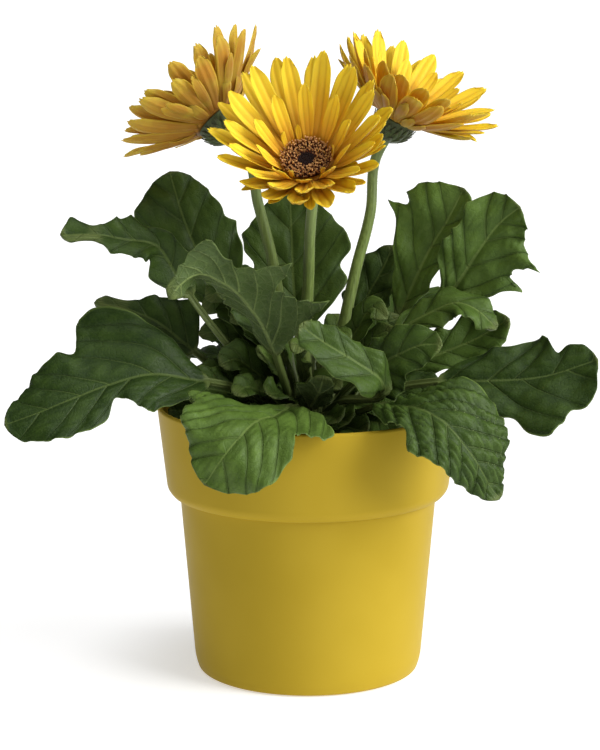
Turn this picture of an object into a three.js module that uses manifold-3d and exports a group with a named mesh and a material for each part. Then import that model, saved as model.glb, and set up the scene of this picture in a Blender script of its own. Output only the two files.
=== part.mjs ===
// A gerbera in flower, standing in the glossy yellow pot it is sold in: a low rosette of lobed,
// wavy leaves over the rim and three yellow blooms on bare stalks.
// Millimetres, +Z up, origin in the middle of the pot's underside, the front of the plant at -Y.
import * as THREE from "three";
import { mergeVertices } from "three/addons/utils/BufferGeometryUtils.js";
import Module from "manifold-3d";

const wasm = await Module();
wasm.setup();

// ---- driving sizes -------------------------------------------------------------------------
const GAP = 0.3; // between neighbouring pieces
const POT_HEIGHT = 148;
const RIM_RADIUS = 82.5;
const BAND_FOOT_RADIUS = 77.5; // where the deep rim band ends
const BAND_FOOT_HEIGHT = 106;
const LEDGE_HEIGHT = 99;
const LEDGE_RADIUS = 70.4;
const FOOT_RADIUS = 62.5;
const FLOOR_RADIUS = 53;
const WALL = 3;
const SOIL_HEIGHT = 128;
const CROWN_RADIUS = 15;
const CROWN_TOP = 146;
const HOLE_RADIUS = 16;
const HOLE_DEPTH = 14;
const BLADE_THICKNESS = 0.9;
const PETAL_THICKNESS = 1;
const DISC_RADIUS = 14.2;
const RECEPTACLE_RADIUS = 14.6;
const RECEPTACLE_TOP = 3.4;
const CALYX_HEIGHT = 15;

// ---- small helpers -------------------------------------------------------------------------
const rad = (degrees) => (degrees * Math.PI) / 180;
const vec = ([x, y, z]) => new THREE.Vector3(x, y, z);
const lerp = (a, b, k) => a + (b - a) * k;
const clamp01 = (x) => Math.min(1, Math.max(0, x));

// Repeatable random numbers from a seed.
function seeded(seed) {
  let a = seed >>> 0;
  return () => {
    a = (a + 0x6d2b79f5) >>> 0;
    let t = a;
    t = Math.imul(t ^ (t >>> 15), t | 1);
    t ^= t + Math.imul(t ^ (t >>> 7), t | 61);
    return ((t ^ (t >>> 14)) >>> 0) / 4294967296;
  };
}

// A value that runs smoothly through rows [t, value...] without overshooting any of them.
function through(rows, t, column) {
  if (t <= rows[0][0]) return rows[0][column];
  const last = rows.length - 1;
  if (t >= rows[last][0]) return rows[last][column];
  let i = 0;
  while (t > rows[i + 1][0]) i++;
  const slope = (k) => (rows[k + 1][column] - rows[k][column]) / (rows[k + 1][0] - rows[k][0]);
  const bend = (k) => {
    if (k === 0) return slope(0);
    if (k === last) return slope(last - 1);
    const a = slope(k - 1);
    const b = slope(k);
    return a * b <= 0 ? 0 : (2 * a * b) / (a + b);
  };
  const h = rows[i + 1][0] - rows[i][0];
  const s = (t - rows[i][0]) / h;
  return (
    rows[i][column] * (1 + 2 * s) * (1 - s) ** 2 +
    bend(i) * h * s * (1 - s) ** 2 +
    rows[i + 1][column] * s * s * (3 - 2 * s) +
    bend(i + 1) * h * s * s * (s - 1)
  );
}

// A smooth path through points; at(t) gives the place and the direction at a share t of it.
function pathThrough(points) {
  const p = points.map(vec);
  const knots = [0];
  for (let i = 1; i < p.length; i++) knots.push(knots[i - 1] + p[i].distanceTo(p[i - 1]));
  const length = knots[knots.length - 1];
  const last = p.length - 1;
  const slope = (k) => p[k + 1].clone().sub(p[k]).divideScalar(knots[k + 1] - knots[k]);
  const bend = p.map((_, k) => {
    if (k === 0) return slope(0);
    if (k === last) return slope(last - 1);
    const before = knots[k] - knots[k - 1];
    const after = knots[k + 1] - knots[k];
    return slope(k).multiplyScalar(before).addScaledVector(slope(k - 1), after)
      .divideScalar(before + after);
  });
  const at = (t) => {
    const d = clamp01(t) * length;
    let i = 0;
    while (i < last - 1 && d > knots[i + 1]) i++;
    const h = knots[i + 1] - knots[i];
    const s = (d - knots[i]) / h;
    const place = p[i].clone().multiplyScalar((1 + 2 * s) * (1 - s) ** 2)
      .addScaledVector(bend[i], h * s * (1 - s) ** 2)
      .addScaledVector(p[i + 1], s * s * (3 - 2 * s))
      .addScaledVector(bend[i + 1], h * s * s * (s - 1));
    const direction = p[i + 1].clone().sub(p[i]).multiplyScalar((6 * s * (1 - s)) / h)
      .addScaledVector(bend[i], (1 - s) * (1 - 3 * s))
      .addScaledVector(bend[i + 1], s * (3 * s - 2))
      .normalize();
    return { place, direction };
  };
  return { at, length };
}

// Equal rings of points joined into one closed skin, each four-cornered face split the same way.
function skin(rings) {
  const n = rings[0].length;
  const vertices = [];
  rings.forEach((ring) => ring.forEach((v) => vertices.push(v.x, v.y, v.z)));
  const faces = [];
  for (let i = 0; i < rings.length - 1; i++)
    for (let j = 0; j < n; j++) {
      const k = (j + 1) % n;
      const a = i * n + j;
      const b = i * n + k;
      // the lower half of a flat ring is split like the upper half above it
      if (j < n / 2) faces.push(a, b, b + n, a, b + n, a + n);
      else faces.push(a, b, a + n, b, b + n, a + n);
    }
  const top = (rings.length - 1) * n;
  if (n < 9)
    for (let j = 1; j < n - 1; j++) faces.push(0, j + 1, j, top, top + j, top + j + 1);
  else for (let j = 0; j < n / 2 - 1; j++) {
    const a = j;
    const b = j + 1;
    const c = n - 2 - j;
    const d = n - 1 - j;
    faces.push(a, c, b, a, d, c);
    faces.push(top + a, top + b, top + c, top + a, top + c, top + d);
  }
  return { vertices, faces };
}

function solid({ vertices, faces }) {
  const made = new wasm.Manifold(
    new wasm.Mesh({
      numProp: 3,
      vertProperties: new Float32Array(vertices),
      triVerts: new Uint32Array(faces),
    }),
  );
  if (made.volume() > 0) return made;
  const turned = [];
  for (let i = 0; i < faces.length; i += 3) turned.push(faces[i], faces[i + 2], faces[i + 1]);
  return new wasm.Manifold(
    new wasm.Mesh({
      numProp: 3,
      vertProperties: new Float32Array(vertices),
      triVerts: new Uint32Array(turned),
    }),
  );
}

function solidOfGeometry(geometry) {
  geometry.deleteAttribute("normal");
  geometry.deleteAttribute("uv");
  const g = mergeVertices(geometry, 1e-4);
  return solid({ vertices: [...g.attributes.position.array], faces: [...g.index.array] });
}

const lathe = (profile, sides) =>
  solidOfGeometry(
    new THREE.LatheGeometry(profile.map(([r, z]) => new THREE.Vector2(r, z)), sides)
      .rotateX(Math.PI / 2),
  );

// ---- materials -----------------------------------------------------------------------------
const paint = (colour, roughness) =>
  new THREE.MeshStandardMaterial({ color: colour, roughness, metalness: 0 });
const MATERIALS = {
  pot: paint(0xe0bf2c, 0.25),
  soil: paint(0x3a2a1e, 0.95),
  crown: paint(0x7a8a3e, 0.7),
  scape: paint(0x8fa05a, 0.6),
  petals: paint(0xf6d21c, 0.55),
  disc: paint(0x4a2a1c, 0.8),
  calyx: paint(0x5f7136, 0.7),
  leaf: paint(0x47602c, 0.5),
};

const group = new THREE.Group();
group.name = "potted_gerbera";
function add(name, made, material) {
  const m = made.getMesh();
  const g = new THREE.BufferGeometry();
  g.setAttribute("position", new THREE.BufferAttribute(new Float32Array(m.vertProperties), 3));
  g.setIndex(new THREE.BufferAttribute(new Uint32Array(m.triVerts), 1));
  g.computeVertexNormals();
  const mesh = new THREE.Mesh(g, MATERIALS[material]);
  mesh.name = name;
  group.add(mesh);
}

// ---- pot, soil and crown -------------------------------------------------------------------
const POT_SIDES = 44;
const INNER_BAND = BAND_FOOT_RADIUS - WALL;
const POT_PROFILE = [
  [0, 0], [FLOOR_RADIUS, 0], [FOOT_RADIUS - 4, 1.8], [FOOT_RADIUS - 0.6, 6.5],
  [FOOT_RADIUS + 0.5, 13], [LEDGE_RADIUS, LEDGE_HEIGHT - 0.6],
  [LEDGE_RADIUS + 1, LEDGE_HEIGHT], [BAND_FOOT_RADIUS - 3.4, LEDGE_HEIGHT + 0.7],
  [BAND_FOOT_RADIUS - 0.8, LEDGE_HEIGHT + 3], [BAND_FOOT_RADIUS, BAND_FOOT_HEIGHT],
  [RIM_RADIUS, POT_HEIGHT - 1.2], [RIM_RADIUS - 0.8, POT_HEIGHT],
  [RIM_RADIUS - 2.3, POT_HEIGHT], [RIM_RADIUS - 3, POT_HEIGHT - 1.2],
  [INNER_BAND, BAND_FOOT_HEIGHT + 1], [LEDGE_RADIUS - WALL, LEDGE_HEIGHT - 3],
  [FOOT_RADIUS + 0.5 - WALL, 14], [FOOT_RADIUS - 8, 4], [0, WALL],
];
add("pot", lathe(POT_PROFILE, POT_SIDES), "pot");

// The inside radius of the pot at a height, between its inner corners.
function insideRadius(z) {
  const inner = POT_PROFILE.slice(13).map(([r, h]) => [h, r]).reverse();
  for (let i = 1; i < inner.length; i++)
    if (z <= inner[i][0])
      return lerp(inner[i - 1][1], inner[i][1],
        (z - inner[i - 1][0]) / (inner[i][0] - inner[i - 1][0]));
  return inner[inner.length - 1][1];
}

const crumb = seeded(41);
const SOIL_SIDES = 24;
const soilEdge = (z) => insideRadius(z) * Math.cos(Math.PI / POT_SIDES) - GAP - 0.1;
const soilRings = [
  [HOLE_RADIUS, SOIL_HEIGHT - HOLE_DEPTH, 0], [HOLE_RADIUS, SOIL_HEIGHT + 1.4, 0],
  [28, SOIL_HEIGHT + 1.6, 1.3], [42, SOIL_HEIGHT + 0.5, 1.4], [57, SOIL_HEIGHT, 1.3],
  [soilEdge(SOIL_HEIGHT - 2), SOIL_HEIGHT - 1, 0], [soilEdge(BAND_FOOT_HEIGHT + 1), 107, 0],
  [soilEdge(96) , 96, 0], [soilEdge(14), 14.4, 0], [soilEdge(4) - 1.5, 5, 0],
];
function soilSolid() {
  const vertices = [];
  const faces = [];
  soilRings.forEach(([r, z, rough]) => {
    for (let j = 0; j < SOIL_SIDES; j++) {
      const a = (j * 2 * Math.PI) / SOIL_SIDES;
      vertices.push(r * Math.cos(a), r * Math.sin(a), z + rough * (crumb() - 0.5) * 2);
    }
  });
  const n = SOIL_SIDES;
  for (let i = 0; i < soilRings.length - 1; i++)
    for (let j = 0; j < n; j++) {
      const a = i * n + j;
      const b = i * n + ((j + 1) % n);
      faces.push(a, b, b + n, a, b + n, a + n);
    }
  const hole = vertices.length / 3;
  vertices.push(0, 0, SOIL_HEIGHT - HOLE_DEPTH, 0, 0, WALL + GAP + 0.2);
  const foot = (soilRings.length - 1) * n;
  for (let j = 0; j < n; j++) {
    const k = (j + 1) % n;
    faces.push(hole, k, j, hole + 1, foot + j, foot + k);
  }
  return solid({ vertices, faces });
}
add("soil", soilSolid(), "soil");

// The crown, a squat knob the leaves and stalks grow from, standing in its hole in the soil.
const crownProfile = (extra) => [
  [0, SOIL_HEIGHT - HOLE_DEPTH + GAP - extra], [CROWN_RADIUS - 3 + extra, 114.5 - extra],
  [CROWN_RADIUS + extra, SOIL_HEIGHT + 2], [CROWN_RADIUS - 1 + extra, 137 + extra * 0.5],
  [CROWN_RADIUS - 5 + extra * 0.7, CROWN_TOP - 3 + extra * 0.7], [0, CROWN_TOP + extra],
];
const crown = lathe(crownProfile(0), 16);
const crownRoom = lathe(crownProfile(GAP + 0.05), 16);
add("crown", crown, "crown");

// ---- leaves --------------------------------------------------------------------------------
// rib: the middle of the leaf stalk and blade from the crown to the tip
// face: which way the upper side looks, from the base to the tip
// from: the share of the rib where the blade begins
// half: rows of [share of the blade, width left of the rib, width right of it], lobe by lobe
// fold: how far the sides are folded up (degrees) at the base, middle and tip of the blade
// wave: how far the edge waves up and down
const lobed = (left, right) =>
  [[0, 0.1, 0.1], [0.1, 0.44, 0.5], [0.2, 0.68, 0.6], [0.28, 0.54, 0.76], [0.4, 0.92, 0.68],
    [0.5, 0.8, 1], [0.6, 1, 0.86], [0.7, 0.84, 0.92], [0.8, 0.82, 0.7], [0.9, 0.52, 0.56],
    [0.96, 0.34, 0.32], [1, 0.07, 0.07]].map(([v, l, r]) => [v, l * left, r * right]);
const LEAVES = [
  { name: "leaf_left_low", wave: 2.4, fold: [10, 4, -6], from: 0.35,
    rib: [[-12, -7, 136], [-34, -24, 159], [-62, -44, 170], [-83, -52, 174], [-103, -58, 170],
      [-121, -64, 164], [-142, -68, 156], [-158, -68, 150]],
    face: [[0, -0.5, 0.86], [-0.1, -0.75, 0.66], [-0.3, -0.7, 0.65]],
    half: [[0, 3, 3], [0.1, 16, 16], [0.22, 22, 26], [0.32, 24, 40], [0.4, 16, 47], [0.47, 9, 45],
      [0.55, 19, 27], [0.64, 22, 28], [0.74, 22, 27], [0.84, 18, 21], [0.93, 13, 14], [1, 5, 5]] },
  { name: "leaf_left_mid", wave: 1.4, fold: [12, 6, 0], from: 0.5,
    rib: [[-12.5, 3, 138], [-32, 2, 154], [-51, 4, 167], [-67, 6, 180], [-84, 8, 193],
      [-102, 8, 200], [-117, 6, 203]],
    face: [[0, -0.5, 0.8], [0.1, -0.9, 0.4], [0.1, -0.7, 0.7]],
    half: [[0, 3, 3], [0.12, 14, 16], [0.25, 19, 22], [0.4, 17, 16], [0.52, 13, 13], [0.64, 7, 8],
      [0.76, 4, 5], [0.88, 4, 6], [1, 1.5, 1.5]] },
  { name: "leaf_left_high", wave: 1.8, fold: [16, 12, 8], from: 0.5,
    rib: [[-12, -2.5, 141], [-37, -10, 174], [-58, -14, 202], [-71, -16, 222], [-81, -20, 238],
      [-97, -26, 242], [-114, -30, 245], [-131, -32, 245]],
    face: [[-0.4, -0.7, 0.5], [-0.1, -0.85, 0.5], [0, -0.8, 0.6]],
    half: [[0, 3, 3], [0.1, 9, 10], [0.22, 13, 12], [0.36, 10, 10], [0.46, 14, 10], [0.56, 10, 13],
      [0.68, 9, 9], [0.8, 4, 5.5], [0.88, 4, 9], [0.94, 5, 10], [1, 1.5, 1.5]] },
  { name: "leaf_left_round", wave: 2, fold: [12, 6, -4], from: 0.45,
    rib: [[-9.5, 7, 142], [-28, 12, 179], [-47, 16, 206], [-58, 18, 224], [-68, 20, 247],
      [-76, 26, 273]],
    face: [[0.3, -0.8, 0.5], [0.1, -0.95, 0.3], [0.1, -0.8, 0.5]],
    half: [[0, 3, 3], [0.12, 14, 14], [0.24, 19, 22], [0.36, 20, 25], [0.48, 24, 26], [0.58, 27, 22],
      [0.66, 28, 22], [0.77, 25, 19], [0.87, 18, 16], [0.95, 11, 10], [1, 4, 4]] },
  { name: "leaf_back_tall", wave: 2, fold: [10, 6, 0], from: 0.36,
    rib: [[-2.5, 11, 142], [-4, 26, 156], [-6, 32, 184], [-8, 38, 208], [-9, 44, 233],
      [-10, 50, 259]],
    face: [[0, -0.8, 0.5], [0, -0.93, 0.35], [0, -0.85, 0.5]],
    half: [[0, 3, 3], [0.1, 12, 14], [0.22, 20, 24], [0.35, 24, 30], [0.46, 22, 27], [0.58, 27, 33],
      [0.68, 28, 31], [0.78, 22, 25], [0.88, 17, 19], [0.95, 11, 12], [1, 3, 3]] },
  { name: "leaf_front_fold", wave: 1.6, fold: [10, 14, 18], from: 0.34,
    rib: [[-7, -9, 141], [-13, -26, 166], [-19, -34, 186], [-24, -40, 199], [-31, -46, 210],
      [-37, -52, 218], [-46, -58, 225], [-56, -62, 229], [-66, -66, 224], [-72, -68, 216]],
    face: [[0.5, 0.8, 0.2], [0.4, 0.8, 0.45], [0.3, 0.7, 0.7]],
    half: [[0, 3, 3], [0.1, 18, 8], [0.2, 43, 11], [0.28, 25, 12], [0.37, 18, 16], [0.48, 37, 13],
      [0.57, 17, 16], [0.66, 13, 12], [0.76, 21, 13], [0.86, 7, 8], [0.94, 5, 6], [1, 1.5, 1.5]] },
  { name: "leaf_front_drape", wave: 2, fold: [8, -4, -8], from: 0.34,
    rib: [[-4.5, -13.5, 136], [-7, -40, 154], [-17, -68, 156], [-29, -90, 155], [-41, -103, 144],
      [-53, -102, 126]],
    face: [[0, -0.3, 1], [-0.1, -0.6, 0.8], [-0.2, -0.95, 0.3]],
    half: [[0, 3, 3], [0.1, 26, 12], [0.2, 36, 20], [0.3, 28, 36], [0.38, 22, 44], [0.46, 26, 36],
      [0.56, 29, 36], [0.66, 29, 34], [0.76, 28, 31], [0.86, 23, 23], [0.94, 15, 14], [1, 4, 4]] },
  { name: "leaf_front_mid", wave: 1.4, fold: [10, 8, 4], from: 0.48,
    rib: [[5.5, -10.5, 140], [17, -29, 155], [39, -47, 162], [38, -57, 172], [24, -62, 183],
      [8, -63, 193], [-5, -62, 202]],
    face: [[0, -0.3, 0.95], [0, -0.75, 0.65], [0.1, -0.8, 0.6]],
    half: [[0, 3, 3], [0.12, 12, 8], [0.28, 17, 11], [0.42, 14, 11], [0.56, 15, 10], [0.7, 12, 11],
      [0.84, 11, 9], [0.94, 7, 6], [1, 2, 2]] },
  { name: "leaf_front_inner", wave: 1, fold: [10, 4, 0], from: 0.4,
    rib: [[1.5, -14, 136], [0, -24, 149], [3, -34, 157], [6, -41, 164], [8, -45, 172]],
    face: [[0, 0.6, 0.8], [0, 0.75, 0.65], [0, 0.8, 0.55]],
    half: [[0, 3, 3], [0.2, 7, 9], [0.4, 9, 11], [0.6, 8, 12], [0.8, 7, 9], [0.93, 5, 5],
      [1, 1.5, 1.5]] },
  { name: "leaf_right_high", wave: 1.8, fold: [18, 14, 8], from: 0.45,
    rib: [[9.5, 7, 142], [42, 22, 174], [50, 24, 190], [58, 22, 211], [67, 20, 231], [75, 17, 245],
      [85, 14, 265]],
    face: [[-0.5, -0.7, 0.4], [-0.35, -0.9, 0.2], [-0.2, -0.85, 0.5]],
    half: [[0, 3, 3], [0.12, 8, 6], [0.27, 14, 10], [0.4, 19, 12], [0.5, 23, 13], [0.6, 35, 14],
      [0.68, 25, 15], [0.77, 25, 16], [0.86, 25, 15], [0.94, 16, 11], [1, 3, 3]] },
  { name: "leaf_right_tall", wave: 1.8, fold: [16, 12, 6], from: 0.56,
    rib: [[12.5, 2.5, 140], [50, 8, 176], [67, 8, 195], [81, 6, 213], [92, 3, 231], [104, 0, 248],
      [114, -5, 257]],
    face: [[-0.3, -0.6, 0.7], [0, -0.93, 0.35], [0.1, -0.9, 0.4]],
    half: [[0, 3, 3], [0.1, 9, 11], [0.24, 18, 20], [0.4, 21, 33], [0.5, 18, 21], [0.65, 19, 36],
      [0.73, 20, 24], [0.8, 18, 18], [0.9, 14, 14], [0.96, 9, 10], [1, 3, 3]] },
  { name: "leaf_right_mid", wave: 1.4, fold: [10, 6, 0], from: 0.48,
    rib: [[13, -2, 139], [35, -6, 168], [51, -7, 191], [66, -8, 200], [81, -12, 206],
      [93, -16, 201], [101, -18, 192]],
    face: [[-0.4, -0.5, 0.75], [-0.1, -0.6, 0.8], [0.3, -0.55, 0.8]],
    half: [[0, 3, 3], [0.12, 9, 9], [0.28, 12, 11], [0.4, 9, 14], [0.52, 12, 11], [0.64, 10, 15],
      [0.76, 11, 10], [0.88, 8, 9], [1, 2, 2]] },
  { name: "leaf_right_small", wave: 1.2, fold: [8, 4, 0], from: 0.4,
    rib: [[10, -7, 140], [21, -22, 160], [34, -37, 174], [48, -47, 184], [61, -53, 190],
      [70, -56, 190]],
    face: [[-0.2, -0.2, 0.95], [0, -0.9, 0.4], [0.1, -0.85, 0.5]],
    half: [[0, 3, 3], [0.12, 8, 12], [0.3, 14, 21], [0.45, 13, 18], [0.6, 15, 12], [0.75, 12, 12],
      [0.9, 8, 9], [1, 2, 2]] },
  { name: "leaf_right_up_low", wave: 1.4, fold: [8, 4, 0], from: 0.46,
    rib: [[13.5, 5.5, 134], [50, 16, 163], [74, 19, 173], [93, 19, 181], [111, 14, 193]],
    face: [[-0.2, -0.6, 0.8], [0, -0.85, 0.5], [0.1, -0.85, 0.5]],
    half: [[0, 3, 3], [0.15, 9, 9], [0.32, 14, 12], [0.45, 11, 14], [0.6, 16, 12], [0.75, 14, 12],
      [0.9, 9, 8], [1, 2, 2]] },
  { name: "leaf_right_low", wave: 2.2, fold: [6, 2, 8], from: 0.44,
    rib: [[12, -7, 135], [44, -14, 158], [71, -24, 165], [97, -32, 167], [123, -38, 170],
      [153, -42, 180]],
    face: [[0, -0.4, 0.9], [0, -0.75, 0.65], [0.1, -0.7, 0.7]],
    half: [[0, 3, 3], [0.1, 12, 14], [0.24, 18, 20], [0.36, 20, 22], [0.46, 22, 24], [0.55, 25, 34],
      [0.63, 26, 38], [0.7, 23, 33], [0.77, 12, 26], [0.85, 13, 25], [0.93, 12, 20], [1, 4, 4]] },
  { name: "leaf_right_front", wave: 2.4, fold: [6, 0, -8], from: 0.34,
    rib: [[9, -10.5, 136], [34, -44, 155], [45, -66, 161], [57, -80, 162], [70, -89, 156],
      [83, -93, 141], [98, -88, 115]],
    face: [[0.1, -0.3, 0.95], [0.3, -0.7, 0.65], [0.5, -0.85, 0.25]],
    half: [[0, 3, 3], [0.08, 10, 9], [0.17, 22, 14], [0.27, 26, 19], [0.36, 28, 17], [0.46, 31, 26],
      [0.56, 32, 24], [0.66, 30, 20], [0.76, 26, 17], [0.86, 18, 12], [0.94, 11, 8], [1, 2, 2]] },
  { name: "leaf_back_right_tall", wave: 1.4, fold: [10, 6, 0], from: 0.4,
    rib: [[3, 10.5, 142.5], [14, 28, 163], [25, 37, 184], [33, 41, 201], [42, 43, 217],
      [48, 44, 230]],
    face: [[-0.1, -0.8, 0.5], [-0.1, -0.9, 0.4], [0, -0.9, 0.4]],
    half: lobed(15, 14) },
  { name: "leaf_left_inner", wave: 1.2, fold: [8, 4, 0], from: 0.3,
    rib: [[-14.5, -1.5, 134], [-32, -7, 150], [-50, -9, 157], [-64, -11, 161], [-76, -12, 159]],
    face: [[0, -0.6, 0.8], [0, -0.8, 0.6], [0, -0.8, 0.6]], half: lobed(14, 10) },
  { name: "leaf_right_inner", wave: 1.2, fold: [8, 4, 0], from: 0.3,
    rib: [[14, -3.5, 133], [32, 0, 149], [48, 2, 155], [62, 3, 158], [76, 2, 156]],
    face: [[0, -0.6, 0.8], [0, -0.8, 0.6], [0, -0.8, 0.6]], half: lobed(10, 13) },
  { name: "leaf_back_left_mid", wave: 1.8, fold: [10, 6, 0], from: 0.42,
    rib: [[-6.5, 11.5, 138], [-22, 36, 172], [-36, 56, 196], [-50, 72, 210], [-66, 86, 214]],
    face: [[0.2, -0.5, 0.8], [0.2, -0.3, 0.95], [0, 0, 1]], half: lobed(22, 22) },
  { name: "leaf_back_right_mid", wave: 1.8, fold: [10, 6, 0], from: 0.42,
    rib: [[7.5, 10.5, 138.5], [26, 29, 165], [44, 49, 186], [62, 66, 198], [78, 82, 200]],
    face: [[-0.2, -0.5, 0.8], [-0.2, -0.3, 0.95], [0, 0, 1]], half: lobed(22, 22) },
  { name: "leaf_back_left_low", wave: 2.4, fold: [10, 2, -6], from: 0.36,
    rib: [[-10, 10.5, 134], [-30, 32, 156], [-56, 60, 166], [-80, 84, 160], [-100, 104, 140]],
    face: [[0, 0.1, 1], [-0.2, 0.2, 1], [-0.5, 0.5, 0.7]], half: lobed(28, 30) },
  { name: "leaf_back_low", wave: 2.4, fold: [10, 2, -6], from: 0.36,
    rib: [[0.5, 14.5, 134], [2, 40, 158], [4, 76, 168], [6, 108, 160], [8, 132, 138]],
    face: [[0, 0, 1], [0, 0.2, 1], [0, 0.7, 0.7]], half: lobed(29, 27) },
  { name: "leaf_back_right_low", wave: 2.4, fold: [10, 2, -6], from: 0.36,
    rib: [[11, 9.5, 134], [32, 32, 156], [60, 58, 166], [88, 82, 160], [110, 100, 140]],
    face: [[0, 0.1, 1], [0.2, 0.2, 1], [0.5, 0.5, 0.7]], half: lobed(26, 27) },
];

const BLADE_COLUMNS = [-1, -0.5, 0, 0.5, 1];
const STALK_STATIONS = [0, 0.3, 0.65];

// One cross-section of a leaf, from its left edge over the top to the right and back underneath.
function leafSection(leaf, path, t) {
  const { place, direction } = path.at(t);
  const rows = leaf.face.map((f, i) => [i / (leaf.face.length - 1), ...f]);
  const hint = vec([1, 2, 3].map((c) => through(rows, t, c)));
  const side = direction.clone().cross(hint).normalize();
  const up = side.clone().cross(direction).normalize();
  const v = clamp01((t - leaf.from) / (1 - leaf.from));
  const stalk = lerp(2.2, 1.9, clamp01(t / leaf.from));
  const fold = through(leaf.fold.map((f, i) => [i / 2, f]), v, 1);
  const widest = Math.max(...leaf.half.map((r) => r[1] + r[2])) / 2;
  const section = (u) => {
    const edge = through(leaf.half, v, u < 0 ? 1 : 2);
    const width = t <= leaf.from ? stalk : Math.max(edge, 1.2);
    const s = Math.abs(u) * width;
    const share = clamp01((width - 3) / 6);
    const angle = rad(fold * share);
    const ripple = leaf.wave * Math.min(1, width / widest) * share * Math.abs(u) ** 1.5 *
      Math.sin(2 * Math.PI * (2.6 * v + (u < 0 ? 0.2 : 0.55)));
    const forward = (u < 0 ? 0.22 : 0.12) * s * share * (1 - v);
    const out = side.clone().multiplyScalar(Math.sign(u));
    const normal = up.clone().multiplyScalar(Math.cos(angle)).addScaledVector(out, -Math.sin(angle));
    const middle = place.clone()
      .addScaledVector(out, s * Math.cos(angle))
      .addScaledVector(up, s * Math.sin(angle) + ripple)
      .addScaledVector(direction, forward);
    const round = stalk * Math.sqrt(1 - (0.92 * u) ** 2);
    const flat = lerp(lerp(1.1, 0.7, v), BLADE_THICKNESS / 2, Math.min(1, Math.abs(u) * 2));
    const thick = lerp(round, flat, share);
    return [middle.clone().addScaledVector(normal, thick),
      middle.clone().addScaledVector(normal, -thick)];
  };
  const pairs = BLADE_COLUMNS.map(section);
  return [...pairs.map((p) => p[0]), ...pairs.map((p) => p[1]).reverse()];
}

function leafSolid(leaf) {
  const path = pathThrough(leaf.rib);
  const stations = STALK_STATIONS.map((k) => k * leaf.from);
  leaf.half.forEach(([v]) => stations.push(leaf.from + (1 - leaf.from) * v));
  return solid(skin(stations.map((t) => leafSection(leaf, path, t)))).subtract(crownRoom);
}
LEAVES.forEach((leaf) => add(leaf.name, leafSolid(leaf), "leaf"));

// ---- flower stalks -------------------------------------------------------------------------
// size and cup: how much longer the petals are, and how many degrees steeper they stand, than the
// rings below say; raised: [degrees more, side] on one side; longer: [share, side] on one side
const BLOOMS = [
  { name: "front", seat: [-0.4, -36, 281.6], axis: [-0.104, -0.672, 0.734], roll: 10, seed: 101,
    foot: [0, -4, 143], stalk: [[-2, -8, 180], [0, -12, 215], [1, -16, 245]], size: 0.92, cup: 9,
    raised: [-10, 270], longer: [0.23, 90] },
  { name: "left", seat: [-50, 8, 303], axis: [-0.662, 0.27, 0.699], roll: 0, seed: 202,
    foot: [-6, 2.5, 143], stalk: [[-14, 0, 190], [-19, -1, 225], [-27, 0, 258]], size: 0.92,
    cup: 3, raised: [0, 0], longer: [0, 0] },
  { name: "right", seat: [49, 22, 303.5], axis: [0.45, -0.2, 0.87], roll: 0, seed: 303,
    foot: [6, 2.5, 143], stalk: [[17, 6, 180], [26, 12, 220], [34, 19, 250]], size: 0.9,
    cup: 1, raised: [16, 255], longer: [-0.12, 255] },
];

// The stalk leaves the crown, bends as it grew and meets the calyx square on.
function scapeSolid(bloom) {
  const axis = vec(bloom.axis).normalize();
  const end = vec(bloom.seat).addScaledVector(axis, -CALYX_HEIGHT - GAP);
  const before = end.clone().addScaledVector(axis, -9);
  const path = pathThrough([bloom.foot, ...bloom.stalk, before.toArray(), end.toArray()]);
  const rings = [];
  const STEPS = 9;
  for (let i = 0; i <= STEPS; i++) {
    const t = i / STEPS;
    const { place, direction } = path.at(t);
    const side = direction.clone().cross(vec([0.2, 1, 0.1])).normalize();
    const up = side.clone().cross(direction).normalize();
    const r = lerp(3.6, 2.8, Math.min(1, t * 1.3));
    rings.push([180, 135, 90, 45, 0, -45, -90, -135].map((a) =>
      place.clone().addScaledVector(side, r * Math.cos(rad(a)))
        .addScaledVector(up, r * Math.sin(rad(a)))));
  }
  return solid(skin(rings)).subtract(crownRoom);
}

// ---- blooms --------------------------------------------------------------------------------
// Places [x, y, z] of a bloom's own frame (z along its axis, 0 at its seat) in the plant's frame.
function bloomFrame(bloom) {
  const axis = vec(bloom.axis).normalize();
  const x = new THREE.Vector3(0, 1, 0).cross(axis).normalize();
  const y = axis.clone().cross(x).normalize();
  return (px, py, pz) => vec(bloom.seat).addScaledVector(x, px).addScaledVector(y, py)
    .addScaledVector(axis, pz);
}

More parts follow.
